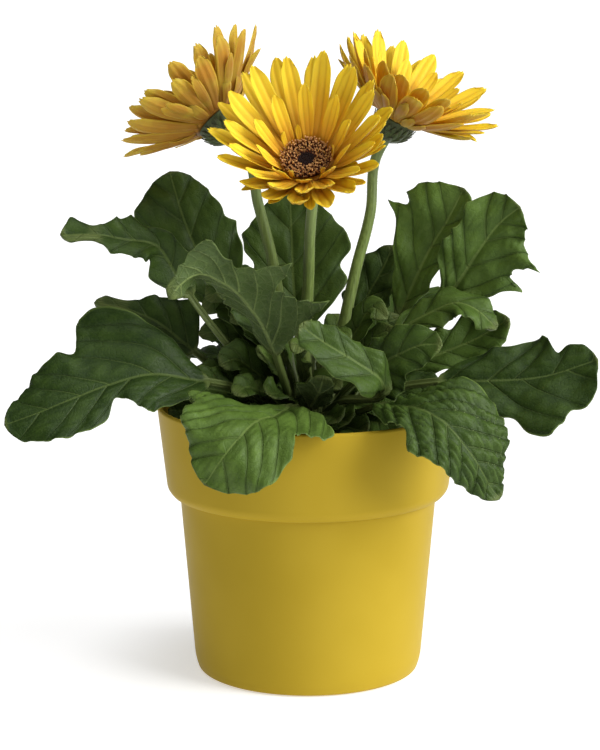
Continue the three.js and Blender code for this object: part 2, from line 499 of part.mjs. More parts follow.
// A ray petal: narrow root sunk in the receptacle, widest past the middle, blunt tip.
const PETAL_WIDTH = [[0, 0.42], [0.3, 0.8], [0.6, 1], [0.84, 0.9], [1, 0.36]];
function petalSolid(toPlant, p) {
  const rings = [];
  const stations = [0, 0.42, 0.82, 1];
  const STEPS = 24;
  const spine = [[p.root, p.lift]];
  for (let i = 0; i < STEPS; i++) {
    const e = rad(lerp(p.rise, p.curl, (i + 0.5) / STEPS));
    const [r, z] = spine[i];
    spine.push([r + (Math.cos(e) * p.length) / STEPS, z + (Math.sin(e) * p.length) / STEPS]);
  }
  stations.forEach((s) => {
    const k = Math.min(STEPS - 1, Math.floor(s * STEPS));
    const f = s * STEPS - k;
    const r = lerp(spine[k][0], spine[k + 1][0], f);
    const z = lerp(spine[k][1], spine[k + 1][1], f);
    const e = rad(lerp(p.rise, p.curl, s));
    const half = (through(PETAL_WIDTH, s, 1) * p.width) / 2;
    const turn = rad(p.twist * s);
    const thick = (PETAL_THICKNESS / 2) * lerp(1.2, 0.8, s);
    const at = (across, over) => {
      const a = across * Math.cos(turn) - over * Math.sin(turn);
      const o = across * Math.sin(turn) + over * Math.cos(turn);
      const rr = r - o * Math.sin(e);
      const bend = a + p.sway * s * s;
      return toPlant(rr * Math.cos(p.angle) - bend * Math.sin(p.angle),
        rr * Math.sin(p.angle) + bend * Math.cos(p.angle), z + o * Math.cos(e));
    };
    rings.push([at(-half, thick), at(half, thick), at(0, -thick)]);
  });
  return solid(skin(rings));
}

// How each ring of petals leaves the receptacle, from the outermost in.
const PETAL_RINGS = [
  { count: 16, length: 44.5, width: 10.8, rise: 17, curl: 39, lift: 0.6, root: 13 },
  { count: 15, length: 43, width: 10.4, rise: 30, curl: 46, lift: 2, root: 13 },
  { count: 10, length: 28, width: 7.6, rise: 46, curl: 60, lift: 2.7, root: 13 },
];
function petalsOf(bloom) {
  const random = seeded(bloom.seed);
  const list = [];
  const toward = (angle, way) => Math.cos(angle - rad(way));
  PETAL_RINGS.forEach((ring, k) => {
    for (let i = 0; i < ring.count; i++) {
      const angle = rad(bloom.roll) + ((i + 0.5 * (k % 2)) * 2 * Math.PI) / ring.count +
        (random() - 0.5) * 0.05;
      const steeper = bloom.cup + bloom.raised[0] * Math.max(0, toward(angle, bloom.raised[1])) ** 2;
      const longer = bloom.size * (1 + bloom.longer[0] * toward(angle, bloom.longer[1]));
      list.push({
        angle,
        length: ring.length * longer * (0.95 + 0.1 * random()),
        width: ring.width * (0.92 + 0.14 * random()),
        rise: ring.rise + steeper + 1.5 * (random() - 0.5),
        curl: ring.curl + steeper + 10 * (random() - 0.5),
        lift: ring.lift, root: ring.root, twist: 12 * (random() - 0.5), sway: 2 * (random() - 0.5),
      });
    }
  });
  return list;
}

function petalsSolid(bloom) {
  const toPlant = bloomFrame(bloom);
  let whole = bloomLathe(toPlant, [[0, -GAP / 2], [RECEPTACLE_RADIUS - 1, -GAP / 2],
    [RECEPTACLE_RADIUS, 0.8], [RECEPTACLE_RADIUS - 0.4, RECEPTACLE_TOP], [0, RECEPTACLE_TOP]], 14);
  petalsOf(bloom).forEach((p) => { whole = whole.add(petalSolid(toPlant, p)); });
  return whole;
}

// A turned form in a bloom's frame; ripple(i, j) lifts single corners out along the radius and up.
function bloomLathe(toPlant, profile, sides, ripple = () => [0, 0]) {
  const vertices = [];
  const faces = [];
  const inner = profile.slice(1, -1);
  inner.forEach(([r, z], i) => {
    for (let j = 0; j < sides; j++) {
      const a = (j * 2 * Math.PI) / sides;
      const [dr, dz] = ripple(i, j);
      vertices.push(...toPlant((r + dr) * Math.cos(a), (r + dr) * Math.sin(a), z + dz).toArray());
    }
  });
  for (let i = 0; i < inner.length - 1; i++)
    for (let j = 0; j < sides; j++) {
      const a = i * sides + j;
      const b = i * sides + ((j + 1) % sides);
      faces.push(a, b, b + sides, a, b + sides, a + sides);
    }
  const ends = vertices.length / 3;
  vertices.push(...toPlant(0, 0, profile[0][1]).toArray());
  vertices.push(...toPlant(0, 0, profile[profile.length - 1][1]).toArray());
  const top = (inner.length - 1) * sides;
  for (let j = 0; j < sides; j++) {
    const k = (j + 1) % sides;
    faces.push(ends, k, j, ends + 1, top + j, top + k);
  }
  return solid({ vertices, faces });
}

// The eye: small florets in rings, raised and sunk by turns, round a dimpled middle.
const discSolid = (bloom) => bloomLathe(bloomFrame(bloom), [
  [0, RECEPTACLE_TOP + GAP], [11.6, RECEPTACLE_TOP + GAP], [12.8, 5.2], [DISC_RADIUS - 0.6, 6.8],
  [11.6, 7.4], [9.2, 7.4], [6.6, 6.8], [3.6, 6.4], [0, 6.2]], 24,
(i, j) => {
  if (i < 2) return [0, 0];
  const raised = (i + j) % 2 ? 1 : -1;
  return [raised * 0.3, raised * (i < 5 ? 0.9 : 0.5)];
});

// The calyx: a cup of pointed bracts, the tips of each row standing a little off the one above.
const calyxSolid = (bloom) => bloomLathe(bloomFrame(bloom), [
  [0, -CALYX_HEIGHT], [3.3, -CALYX_HEIGHT], [7.4, -12.2], [10.3, -8.8], [10.4, -7.4], [12.6, -4],
  [12.7, -2.8], [12.4, -GAP - 0.3], [0, -GAP - 0.3]], 20,
(i, j) => {
  if (i === 2) return j % 2 ? [1.5, 1.2] : [0, -1];
  if (i === 4) return j % 2 ? [0, -1] : [1.7, 1];
  return [0, 0];
});

BLOOMS.forEach((bloom) => {
  add("scape_" + bloom.name, scapeSolid(bloom), "scape");
  add("calyx_" + bloom.name, calyxSolid(bloom), "calyx");
  add("petals_" + bloom.name, petalsSolid(bloom), "petals");
  add("disc_" + bloom.name, discSolid(bloom), "disc");
});

export default group;
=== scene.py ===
"""A gerbera in flower in its glossy yellow pot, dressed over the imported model.

Sizes are in millimetres until a mesh is made, with +Z up and the front of the plant at -Y."""
import math

import bpy
import numpy as np
from mathutils.bvhtree import BVHTree
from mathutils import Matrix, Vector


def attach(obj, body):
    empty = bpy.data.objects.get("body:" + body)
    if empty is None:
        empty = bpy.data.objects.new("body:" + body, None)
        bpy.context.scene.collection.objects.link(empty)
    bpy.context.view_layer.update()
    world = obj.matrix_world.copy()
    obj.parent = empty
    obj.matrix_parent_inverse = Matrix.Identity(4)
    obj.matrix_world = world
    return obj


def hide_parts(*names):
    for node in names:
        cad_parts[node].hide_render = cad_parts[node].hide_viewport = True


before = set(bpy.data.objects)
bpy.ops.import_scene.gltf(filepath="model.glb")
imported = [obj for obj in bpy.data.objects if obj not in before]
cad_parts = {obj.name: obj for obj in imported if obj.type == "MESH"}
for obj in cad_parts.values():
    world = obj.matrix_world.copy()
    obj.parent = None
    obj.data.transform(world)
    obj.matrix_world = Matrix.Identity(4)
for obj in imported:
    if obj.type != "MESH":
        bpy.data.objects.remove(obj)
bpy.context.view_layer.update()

MM = 0.001
TURN = 2 * math.pi
GOLDEN_ANGLE = math.radians(137.508)

# ---- sizes shared with the solids ----
GAP = 0.3
POT_HEIGHT = 148
RIM_RADIUS = 82.5
BAND_FOOT_RADIUS = 77.5
BAND_FOOT_HEIGHT = 106
LEDGE_HEIGHT = 99
LEDGE_RADIUS = 70.4
FOOT_RADIUS = 62.5
FLOOR_RADIUS = 53
WALL = 3
SOIL_HEIGHT = 128
CROWN_RADIUS = 15
CROWN_TOP = 146
HOLE_RADIUS = 16
HOLE_DEPTH = 14
RECEPTACLE_RADIUS = 14.6
RECEPTACLE_TOP = 3.4
CALYX_HEIGHT = 15


# ---- numbers ----
def seeded(seed):
    """Repeatable random numbers, the same ones that shape the solids."""
    low = 0xFFFFFFFF
    state = seed & low

    def draw():
        nonlocal state
        state = (state + 0x6D2B79F5) & low
        t = state
        t = ((t ^ (t >> 15)) * (t | 1)) & low
        t ^= (t + (t ^ (t >> 7)) * (t | 61)) & low
        return ((t ^ (t >> 14)) & low) / 2**32

    return draw


def lerp(a, b, k):
    return a + (b - a) * k


def smooth(x, low, high):
    """0 below low, 1 above high, and a soft step between."""
    k = np.clip((x - low) / (high - low), 0, 1)
    return k * k * (3 - 2 * k)


def hump(x, width):
    """A soft hump, 1 at x = 0, that dies away over about width."""
    return np.exp(-((x / width) ** 2))


def unit(v):
    return v / np.linalg.norm(v, axis=-1, keepdims=True)


def spun(x, y, angle):
    """Both coordinates of points turned about the origin of their plane."""
    return x * np.cos(angle) - y * np.sin(angle), x * np.sin(angle) + y * np.cos(angle)


def together(*parts):
    """Coordinates, or other numbers of points, side by side in one array."""
    return np.stack(np.broadcast_arrays(*parts), axis=-1)


def listed(*parts):
    """Three numbers of each point of a grid, a row for each point."""
    return together(*parts).reshape(-1, 3)


def polar(r, a, z):
    """Points at the radius r and angle a round Z, at the height z."""
    return together(r * np.cos(a), r * np.sin(a), z)


def glide(p, q, leave, reach, s):
    """From p to q as s goes from 0 to 1, with the slopes leave and reach at the ends."""
    return (p * (1 + 2 * s) * (1 - s) ** 2 + leave * s * (1 - s) ** 2
            + q * s * s * (3 - 2 * s) + reach * s * s * (s - 1))


def through(rows, t, column=1, sharp=0.0):
    """Values at t that run smoothly through rows (t, value...) without overshooting any of them.
    Peaks are round when sharp is 0 and pointed when it is 1."""
    rows = np.array(rows, float)
    x, y = rows[:, 0], rows[:, column]
    step = np.diff(x)
    slope = np.diff(y) / step
    bend = np.zeros(len(x))
    bend[0], bend[-1] = slope[0], slope[-1]
    same_way = slope[:-1] * slope[1:] > 0
    total = np.where(same_way, slope[:-1] + slope[1:], 1)
    bend[1:-1] = np.where(same_way, 2 * slope[:-1] * slope[1:] / total, 0)
    peak = np.zeros(len(x), bool)
    peak[1:-1] = (slope[:-1] > 0) & (slope[1:] < 0)
    leave, reach = bend[:-1].copy(), bend[1:].copy()
    reach[peak[1:]] = 2 * sharp * slope[peak[1:]]
    leave[peak[:-1]] = 2 * sharp * slope[peak[:-1]]
    t = np.clip(t, x[0], x[-1])
    i = np.clip(np.searchsorted(x, t) - 1, 0, len(x) - 2)
    h = step[i]
    s = (t - x[i]) / h
    return glide(y[i], y[i + 1], leave[i] * h, reach[i] * h, s)


def ripples(x, y, seed, size, count=7):
    """Smooth noise of about -1 to 1 whose features are about size across."""
    draw = seeded(seed)
    total = 0
    for _ in range(count):
        way, phase, fine = draw() * TURN, draw() * TURN, lerp(0.6, 1.6, draw())
        total = total + np.sin((x * math.cos(way) + y * math.sin(way)) * TURN * fine / size + phase)
    return total / math.sqrt(count * 2)


class Path:
    """A smooth path through points, as the solids have it."""

    def __init__(self, points):
        self.points = np.array(points, float)
        steps = np.diff(self.points, axis=0)
        gaps = np.linalg.norm(steps, axis=1)[:, None]
        self.knots = np.concatenate([[0], np.cumsum(gaps)])
        self.length = self.knots[-1]
        slope = steps / gaps
        self.bend = np.empty_like(self.points)
        self.bend[0], self.bend[-1] = slope[0], slope[-1]
        before, after = gaps[:-1], gaps[1:]
        self.bend[1:-1] = (slope[1:] * before + slope[:-1] * after) / (before + after)

    def at(self, t):
        """The places and directions at shares t of the path."""
        d = np.clip(t, 0, 1) * self.length
        i = np.clip(np.searchsorted(self.knots, d) - 1, 0, len(self.knots) - 2)
        h = (self.knots[i + 1] - self.knots[i])[:, None]
        s = (d - self.knots[i])[:, None] / h
        p, q, b, c = self.points[i], self.points[i + 1], self.bend[i], self.bend[i + 1]
        way = (q - p) * 6 * s * (1 - s) / h + b * (1 - s) * (1 - 3 * s) + c * s * (3 * s - 2)
        return glide(p, q, b * h, c * h, s), unit(way)


# ---- meshes ----
def in_scene(name, data):
    made = bpy.data.objects.new(name, data)
    bpy.context.scene.collection.objects.link(made)
    return made


class Form:
    """Closed skins gathered into one mesh, with three numbers, its marks, on each point."""

    def __init__(self):
        self.points, self.faces, self.marks = [], [], []
        self.count = 0

    def add(self, points, faces, marks, moved=lambda points: points):
        """faces are rows of 4 corners, a triangle repeating its last; marks is (n, 3) or 3 numbers;
        moved takes the points to their places."""
        points = moved(np.asarray(points, float).reshape(-1, 3))
        faces = np.asarray(faces, int)
        a, b, c, d = (points[faces[:, k]] for k in range(4))
        volume = np.einsum("ij,ij->", a, np.cross(b, c)) + np.einsum("ij,ij->", a, np.cross(c, d))
        if volume < 0:
            triangles = faces[:, 2] == faces[:, 3]
            faces = faces[:, [0, 3, 2, 1]]
            faces[triangles] = faces[triangles][:, [0, 1, 3, 3]]
        self.points.append(points)
        self.faces.append(faces + self.count)
        self.marks.append(np.broadcast_to(np.asarray(marks, float), (len(points), 3)))
        self.count += len(points)

    def tree(self):
        """The skins so far, in millimetres, ready to be tested for what crosses them."""
        faces = [list(dict.fromkeys(face)) for face in np.concatenate(self.faces).tolist()]
        return BVHTree.FromPolygons(np.concatenate(self.points).tolist(), faces)

    def piece(self, name, node, slot, flat=False):
        """The Blender object: it replaces node, rides with the part and has the finish of slot."""
        points = np.concatenate(self.points) * MM
        faces = np.concatenate(self.faces)
        sides = np.where(faces[:, 2] == faces[:, 3], 3, 4)
        corners = faces[np.arange(4) < sides[:, None]]
        mesh = bpy.data.meshes.new(name)
        mesh.vertices.add(len(points))
        mesh.vertices.foreach_set("co", points.ravel())
        mesh.loops.add(len(corners))
        mesh.loops.foreach_set("vertex_index", corners)
        mesh.polygons.add(len(faces))
        mesh.polygons.foreach_set("loop_start", np.concatenate([[0], np.cumsum(sides)[:-1]]))
        mesh.polygons.foreach_set("loop_total", sides)
        marks = mesh.attributes.new("mark", "FLOAT_VECTOR", "POINT")
        marks.data.foreach_set("vector", np.concatenate(self.marks).ravel())
        mesh.polygons.foreach_set("use_smooth", np.full(len(faces), not flat))
        mesh.update(calc_edges=True)
        mesh.materials.append(FINISHES[slot])
        made = in_scene(name, mesh)
        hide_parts(node)
        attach(made, "root")
        return made


def quads(rows, columns, closed=False):
    """The faces of a grid of points, rows by columns, closed round its columns or not."""
    i, j = np.meshgrid(np.arange(rows - 1), np.arange(columns if closed else columns - 1),
                       indexing="ij")
    k = (j + 1) % columns
    here, after = i * columns, (i + 1) * columns
    return together(here + j, here + k, after + k, after + j).reshape(-1, 4)


def shell(top, under):
    """Two grids of points, the faces of a thin sheet, closed round all four edges."""
    rows, columns = top.shape[:2]
    count = rows * columns
    index = np.arange(count).reshape(rows, columns)
    rim = np.concatenate([index[0], index[1:, -1], index[-1, -2::-1], index[-2:0:-1, 0]])
    after = np.roll(rim, -1)
    faces = quads(rows, columns)
    walls = together(after, rim, rim + count, after + count)
    return (np.concatenate([top.reshape(-1, 3), under.reshape(-1, 3)]),
            np.concatenate([faces, faces[:, ::-1] + count, walls]))


def tube(rings):
    """A stack of equal closed rings, (rows, columns, 3), with a fan over each end."""
    rows, columns = rings.shape[:2]
    count = rows * columns
    j = np.arange(columns)
    k = (j + 1) % columns
    top = (rows - 1) * columns
    foot = together(count, k, j, j)
    head = together(count + 1, top + j, top + k, top + k)
    points = np.concatenate([rings.reshape(-1, 3), rings[:1].mean(axis=1), rings[-1:].mean(axis=1)])
    return points, np.concatenate([quads(rows, columns, True), foot, head])


def turned(profile, sides, lift=None):
    """A turned form about Z from rows (radius, height), the first and last standing on the axis."""
    profile = np.array(profile, float)
    a = np.arange(sides) * TURN / sides
    r, z = profile[:, :1], profile[:, 1:2]
    if lift is not None:
        dr, dz = lift(r, a, z)
        r, z = r + dr, z + dz
    return tube(polar(r, a, z))


def rounded(outline, steps=5):
    """An outline of rows (radius, height, bend) with each corner rounded over its bend."""
    rows = np.array(outline, float)
    points, bend = rows[:, :2], rows[:, 2]
    out = [points[0]]
    for k in range(1, len(points) - 1):
        back, on = points[k - 1] - points[k], points[k + 1] - points[k]
        start = points[k] + back / np.linalg.norm(back) * bend[k]
        end = points[k] + on / np.linalg.norm(on) * bend[k]
        for s in np.linspace(0, 1, steps):
            out.append(start * (1 - s) ** 2 + points[k] * 2 * s * (1 - s) + end * s * s)
    out.append(points[-1])
    return np.array(out)


def hairs(form, roots, ways, length, width, mark, seed):
    """Fine three-sided hairs, one from each root, a little tousled."""
    draw = np.random.default_rng(seed)
    count = len(roots)
    ways = unit(ways + draw.normal(0, 0.35, (count, 3)))
    side = unit(np.cross(ways, [0.31, 0.52, 0.8]))
    other = np.cross(ways, side)
    tall = length * draw.uniform(0.6, 1.3, (count, 1))
    ring = [roots - ways * 0.2 + side * width * math.cos(a) + other * width * math.sin(a)
            for a in (0, TURN / 3, 2 * TURN / 3)]
    points = np.stack([*ring, roots + ways * tall], axis=1)
    corners = np.array([[0, 1, 3, 3], [1, 2, 3, 3], [2, 0, 3, 3], [0, 2, 1, 1]])
    faces = corners[None] + np.arange(count)[:, None, None] * 4
    form.add(points, faces.reshape(-1, 4), mark)


# ---- materials ----
class Finish:
    """A Principled material with short words for the nodes it is made of."""

    def __init__(self, name, roughness=0.5, **fixed):
        self.material = bpy.data.materials.new(name)
        self.material.use_nodes = True
        self.tree = self.material.node_tree
        self.shader = self.tree.nodes["Principled BSDF"]
        self.shader.inputs["Roughness"].default_value = roughness
        for socket, value in fixed.items():
            self.shader.inputs[socket.replace("_", " ")].default_value = value

    def node(self, kind, inputs=(), **settings):
        """A shader node: inputs holds sockets to link and plain values to set."""
        made = self.tree.nodes.new("ShaderNode" + kind)
        for key, value in settings.items():
            setattr(made, key, value)
        for key, value in dict(inputs).items():
            if isinstance(value, bpy.types.NodeSocket):
                self.tree.links.new(value, made.inputs[key])
            else:
                made.inputs[key].default_value = value
        return made

    def sum(self, operation, a, b=0.0, c=0.0):
        return self.node("Math", {0: a, 1: b, 2: c}, operation=operation).outputs[0]

    def times(self, a, b):
        return self.sum("MULTIPLY", a, b)

    def plus(self, a, b):
        return self.sum("ADD", a, b)

    def most(self, a, b):
        return self.sum("MAXIMUM", a, b)

    def rest(self, a):
        """What is left of 1."""
        return self.sum("SUBTRACT", 1.0, a)

    def size(self, a):
        return self.sum("ABSOLUTE", a)

    def line(self, a, slope, start):
        return self.sum("MULTIPLY_ADD", a, slope, start)

    def step(self, value, low, high, start=0.0, end=1.0):
        """From start at low to end at high, softly."""
        return self.node("MapRange", {"Value": value, "From Min": low, "From Max": high,
                         "To Min": start, "To Max": end}, interpolation_type="SMOOTHSTEP").outputs[0]

    def mix(self, share, a, b):
        a, b = (c if isinstance(c, bpy.types.NodeSocket) else (*c, 1) for c in (a, b))
        return self.node("Mix", {0: share, 6: a, 7: b}, data_type="RGBA").outputs[2]

    def read(self, name):
        """The three numbers of a named attribute, and the vector itself."""
        vector = self.node("Attribute", attribute_name=name).outputs["Vector"]
        return (*self.node("SeparateXYZ", {0: vector}).outputs, vector)

    def place(self):
        """The place in the object, in millimetres."""
        spot = self.node("TexCoord").outputs["Object"]
        return self.node("VectorMath", {0: spot, "Scale": 1 / MM}, operation="SCALE").outputs[0]

    def stretch(self, vector, x, y, z):
        return self.node("VectorMath", {0: vector, 1: (x, y, z)}, operation="MULTIPLY").outputs[0]

    def noise(self, vector, scale, detail=3.0, roughness=0.5):
        return self.node("TexNoise", {"Vector": vector, "Scale": scale, "Detail": detail,
                         "Roughness": roughness}).outputs["Fac"]

    def cells(self, vector, scale):
        """How far it is to the nearest border between cells."""
        return self.node("TexVoronoi", {"Vector": vector, "Scale": scale},
                         feature="DISTANCE_TO_EDGE").outputs["Distance"]

    def link(self, value, socket):
        self.tree.links.new(value, self.shader.inputs[socket])

    def colour(self, value):
        self.link(value, "Base Color")

    def rough(self, value):
        self.link(value, "Roughness")

    def bump(self, *heights):
        """Relief from (height, depth in millimetres) pairs."""
        under = {}
        for height, depth in heights:
            made = self.node("Bump", {"Height": height, "Distance": depth * MM, "Strength": 1.0,
                                      **under})
            under = {"Normal": made.outputs[0]}
        self.link(under["Normal"], "Normal")


def pot_finish():
    """Glossy yellow moulded plastic, faintly uneven, with a little dust."""
    f = Finish("glossy_yellow_plastic", 0.45, IOR=1.13)
    place = f.place()
    cloud = f.noise(place, 0.018, 2.0)
    base = f.mix(f.step(cloud, 0.35, 0.7), (0.405, 0.280, 0.020), (0.430, 0.300, 0.024))
    dust = f.step(f.noise(place, 0.9, 4.0, 0.7), 0.62, 0.78)
    f.colour(f.mix(f.times(dust, 0.02), base, (0.7, 0.62, 0.4)))
    f.rough(f.step(f.noise(place, 0.04, 2.0), 0.3, 0.8, 0.42, 0.48))
    return f.material


def soil_finish():
    """Damp dark peat with paler fibre and bark."""
    f = Finish("potting_mix", 0.92)
    place = f.place()
    tint = f.read("mark")[0]
    crumb = f.noise(place, 0.45, 5.0, 0.7)
    base = f.mix(f.step(crumb, 0.35, 0.7), (0.018, 0.011, 0.007), (0.075, 0.046, 0.027))
    f.colour(f.mix(f.times(tint, 0.7), base, (0.16, 0.095, 0.05)))
    f.bump((crumb, 0.8), (f.noise(place, 1.8, 4.0, 0.7), 0.25))
    return f.material


def stem_finish(name, dark, light, warm):
    """Hairy green stem: mark holds the share along it, a tint and a share of downy paleness."""
    f = Finish(name, 0.5, Specular_IOR_Level=0.3, Sheen_Weight=0.1, Sheen_Roughness=0.5)
    _, tint, down, _ = f.read("mark")
    place = f.place()
    streak = f.noise(f.stretch(place, 1.1, 1.1, 0.06), 1.0, 3.0, 0.6)
    base = f.mix(f.step(streak, 0.3, 0.75), dark, light)
    base = f.mix(f.times(tint, 0.65), base, warm)
    f.colour(f.mix(f.times(down, 0.35), base, (0.27, 0.34, 0.15)))
    f.rough(f.step(streak, 0.2, 0.8, 0.42, 0.6))
    f.bump((streak, 0.12), (f.noise(place, 3.0, 2.0), 0.03))
    return f.material


def leaf_lines(f, across, count, spacing, out, share, flat):
    """1 on each kind of line of a blade: side vein, its valley, midrib, coarse net and fine net."""
    away = f.times(f.size(f.sum("SUBTRACT", count, f.sum("ROUND", count))), spacing)
    side_vein = f.rest(f.step(f.sum("DIVIDE", away, f.line(out, -0.5, 0.8)), 0.25, 1.0))
    valley_shade = f.rest(f.step(away, 0.1, 1.1))
    from_rib = f.sum("DIVIDE", f.size(across), f.line(share, -0.8, 1.3))
    midrib = f.rest(f.step(from_rib, 0.35, 1.0))
    bent = f.node("VectorMath", {0: flat, 1: f.noise(flat, 0.11, 2.0)}, operation="ADD")
    net = f.rest(f.step(f.cells(bent.outputs[0], 0.24), 0.01, 0.12))
    fine_net = f.rest(f.step(f.cells(flat, 0.62), 0.02, 0.14))
    return side_vein, valley_shade, midrib, net, fine_net


def leaf_finish():
    """Satin green blade: pale midrib, sunken side veins and a faint net, with painted shade along the
    veins' valleys and in the net and painted light on the cushions; paler, veined back.

    mark: millimetres out from the midrib, millimetres along it, 1 on the back.
    vein: count of side veins along the blade, their spacing in millimetres, 1 on the blade.
    rim: share of the way out to the edge, share of the blade's length, how light the leaf is there, with
    its painted light and shade."""
    f = Finish("gerbera_leaf", 0.45, Specular_IOR_Level=0.16)
    across, _, back, plane = f.read("mark")
    count, spacing, blade, _ = f.read("vein")
    out, share, tone_and_painted_light, _ = f.read("rim")
    flat = f.stretch(plane, 1.0, 1.0, 0.0)
    side_vein, valley_shade, midrib, net, fine_net = leaf_lines(f, across, count, spacing, out, share, flat)
    rim = f.step(out, 0.965, 1.0)
    cloud = f.step(f.noise(flat, 0.05, 3.0, 0.6), 0.3, 0.7)
    fleck = f.noise(flat, 0.9, 3.0, 0.6)

    dark = f.mix(cloud, (0.011, 0.027, 0.0035), (0.020, 0.042, 0.005))
    light = f.mix(cloud, (0.073, 0.130, 0.019), (0.114, 0.190, 0.032))
    face = f.mix(tone_and_painted_light, dark, light)
    face = f.mix(f.step(fleck, 0.35, 0.75, 0.0, 0.12), face, (0.11, 0.17, 0.03))
    # painted shade: darker in the sunken net and along the valleys of the side veins
    shade = f.plus(f.times(net, 0.07), f.times(fine_net, 0.05))
    face = f.mix(f.most(shade, f.times(valley_shade, 0.35)), face, (0.009, 0.020, 0.003))
    face = f.mix(f.times(side_vein, f.line(out, -0.3, 0.3)), face, (0.13, 0.19, 0.045))
    rib_tint = f.mix(tone_and_painted_light, (0.085, 0.125, 0.028), (0.20, 0.28, 0.07))
    face = f.mix(f.times(midrib, 0.6), face, rib_tint)
    face = f.mix(f.times(rim, 0.5), face, (0.18, 0.26, 0.06))

    behind = f.mix(cloud, (0.050, 0.080, 0.022), (0.075, 0.115, 0.032))
    lines = f.plus(f.times(net, 0.14), f.times(fine_net, 0.06))
    lines = f.most(lines, f.most(f.times(side_vein, 0.7), midrib))
    lines = f.most(lines, f.times(rim, 0.6))
    behind = f.mix(f.times(lines, 0.8), behind, (0.20, 0.26, 0.085))

    streak = f.noise(f.stretch(plane, 1.6, 0.05, 0.0), 1.0, 2.0)
    # the stalks' green, made darker by painted shade where they stand among the leaves
    stalk = f.mix(f.step(streak, 0.3, 0.7), (0.055, 0.080, 0.018), (0.115, 0.150, 0.040))
    f.colour(f.mix(f.step(blade, 0.15, 0.75), stalk, f.mix(back, face, behind)))
    f.rough(f.plus(f.step(fleck, 0.2, 0.8, 0.38, 0.5), f.times(lines, 0.08)))
    f.bump((f.times(net, f.line(back, 1.4, -0.3)), 0.2),
           (f.times(side_vein, f.line(back, 2.0, -1.0)), 0.35),
           (f.times(fine_net, -1.0), 0.06), (fleck, 0.06))
    return f.material


def petal_finish():
    """Clear yellow with lengthwise lines, orange towards the root and in the grooves as painted shade,
    ochre on the back darkened by painted shade.

    mark: share along the petal, -1 to 1 across it, 1 on the back."""
    f = Finish("gerbera_petal", 0.5, Specular_IOR_Level=0.12, Subsurface_Weight=0.4,
               Subsurface_Scale=0.0015, Subsurface_Radius=(1.0, 0.75, 0.2))
    along, across, back, vector = f.read("mark")
    line = f.noise(f.stretch(vector, 0.8, 9.0, 0.0), 1.4, 4.0, 0.6)
    groove = f.size(f.sum("SUBTRACT", f.size(across), 0.36))
    # orange towards the root: painted shade deep in the bowl, where the petals overlap
    face = f.mix(f.step(along, 0.05, 0.8), (0.72, 0.320, 0.022), (0.87, 0.570, 0.030))
    face = f.mix(f.step(line, 0.4, 0.75, 0.0, 0.45), face, (0.90, 0.67, 0.08))
    # painted shade in the two grooves
    groove_shade = f.times(f.step(groove, 0.0, 0.2, 0.45, 0.0), f.step(along, 0.8, 1.0, 1.0, 0.3))
    face = f.mix(groove_shade, face, (0.50, 0.27, 0.012))
    # darker orange at the root: painted shade
    face = f.mix(f.step(along, 0.0, 0.2, 0.6, 0.0), face, (0.42, 0.13, 0.010))
    # the back's ochre, darkened by painted shade
    behind = f.mix(f.step(line, 0.3, 0.75), (0.32, 0.158, 0.024), (0.45, 0.250, 0.040))
    patch = f.noise(f.place(), 0.07, 2.0)
    behind = f.mix(f.step(patch, 0.48, 0.68, 0.0, 0.5), behind, (0.36, 0.125, 0.018))
    behind = f.mix(f.step(patch, 0.48, 0.32, 0.0, 0.5), behind, (0.50, 0.38, 0.045))
    behind = f.mix(f.step(along, 0.0, 0.35, 0.45, 0.0), behind, (0.34, 0.105, 0.018))
    behind = f.mix(f.step(f.size(across), 0.72, 0.98, 0.0, 0.6), behind, (0.58, 0.39, 0.045))
    behind = f.mix(f.step(along, 0.75, 1.0, 0.0, 0.4), behind, (0.50, 0.42, 0.05))
    f.colour(f.mix(f.times(back, 0.9), face, behind))
    f.rough(f.step(line, 0.2, 0.8, 0.45, 0.6))
    f.bump((line, 0.1))
    return f.material


def eye_finish():
    """The eye: nearly black buds, maroon tubes and tan lips. mark: tan share, orange share, -."""
    f = Finish("gerbera_eye", 0.55, Specular_IOR_Level=0.3)
    tan, orange = f.read("mark")[:2]
    grain = f.noise(f.place(), 2.2, 3.0)
    base = f.mix(f.step(grain, 0.3, 0.7), (0.008, 0.003, 0.004), (0.020, 0.007, 0.006))
    base = f.mix(f.step(tan, 0.05, 0.5), base, (0.25, 0.068, 0.022))
    base = f.mix(f.step(tan, 0.45, 0.95), base, (0.95, 0.54, 0.2))
    f.colour(f.mix(orange, base, (0.75, 0.42, 0.05)))
    return f.material


# the finish of each slot
FINISHES = {
    "pot": pot_finish(),
    "soil": soil_finish(),
    "crown": stem_finish("crown_down", (0.12, 0.15, 0.05), (0.24, 0.27, 0.10), (0.30, 0.20, 0.10)),
    "scape": stem_finish("flower_stalk", (0.088, 0.128, 0.020), (0.155, 0.218, 0.042),
                         (0.07, 0.09, 0.02)),
    "calyx": stem_finish("calyx_green", (0.025, 0.040, 0.010), (0.075, 0.11, 0.028),
                         (0.05, 0.03, 0.02)),
    "leaf": leaf_finish(),
    "petals": petal_finish(),
    "disc": eye_finish(),
}


# ---- pot, soil and crown ----
INNER_BAND = BAND_FOOT_RADIUS - WALL
AXIS = 0.5  # a turned form starts and ends this near its axis, under the fan that closes it
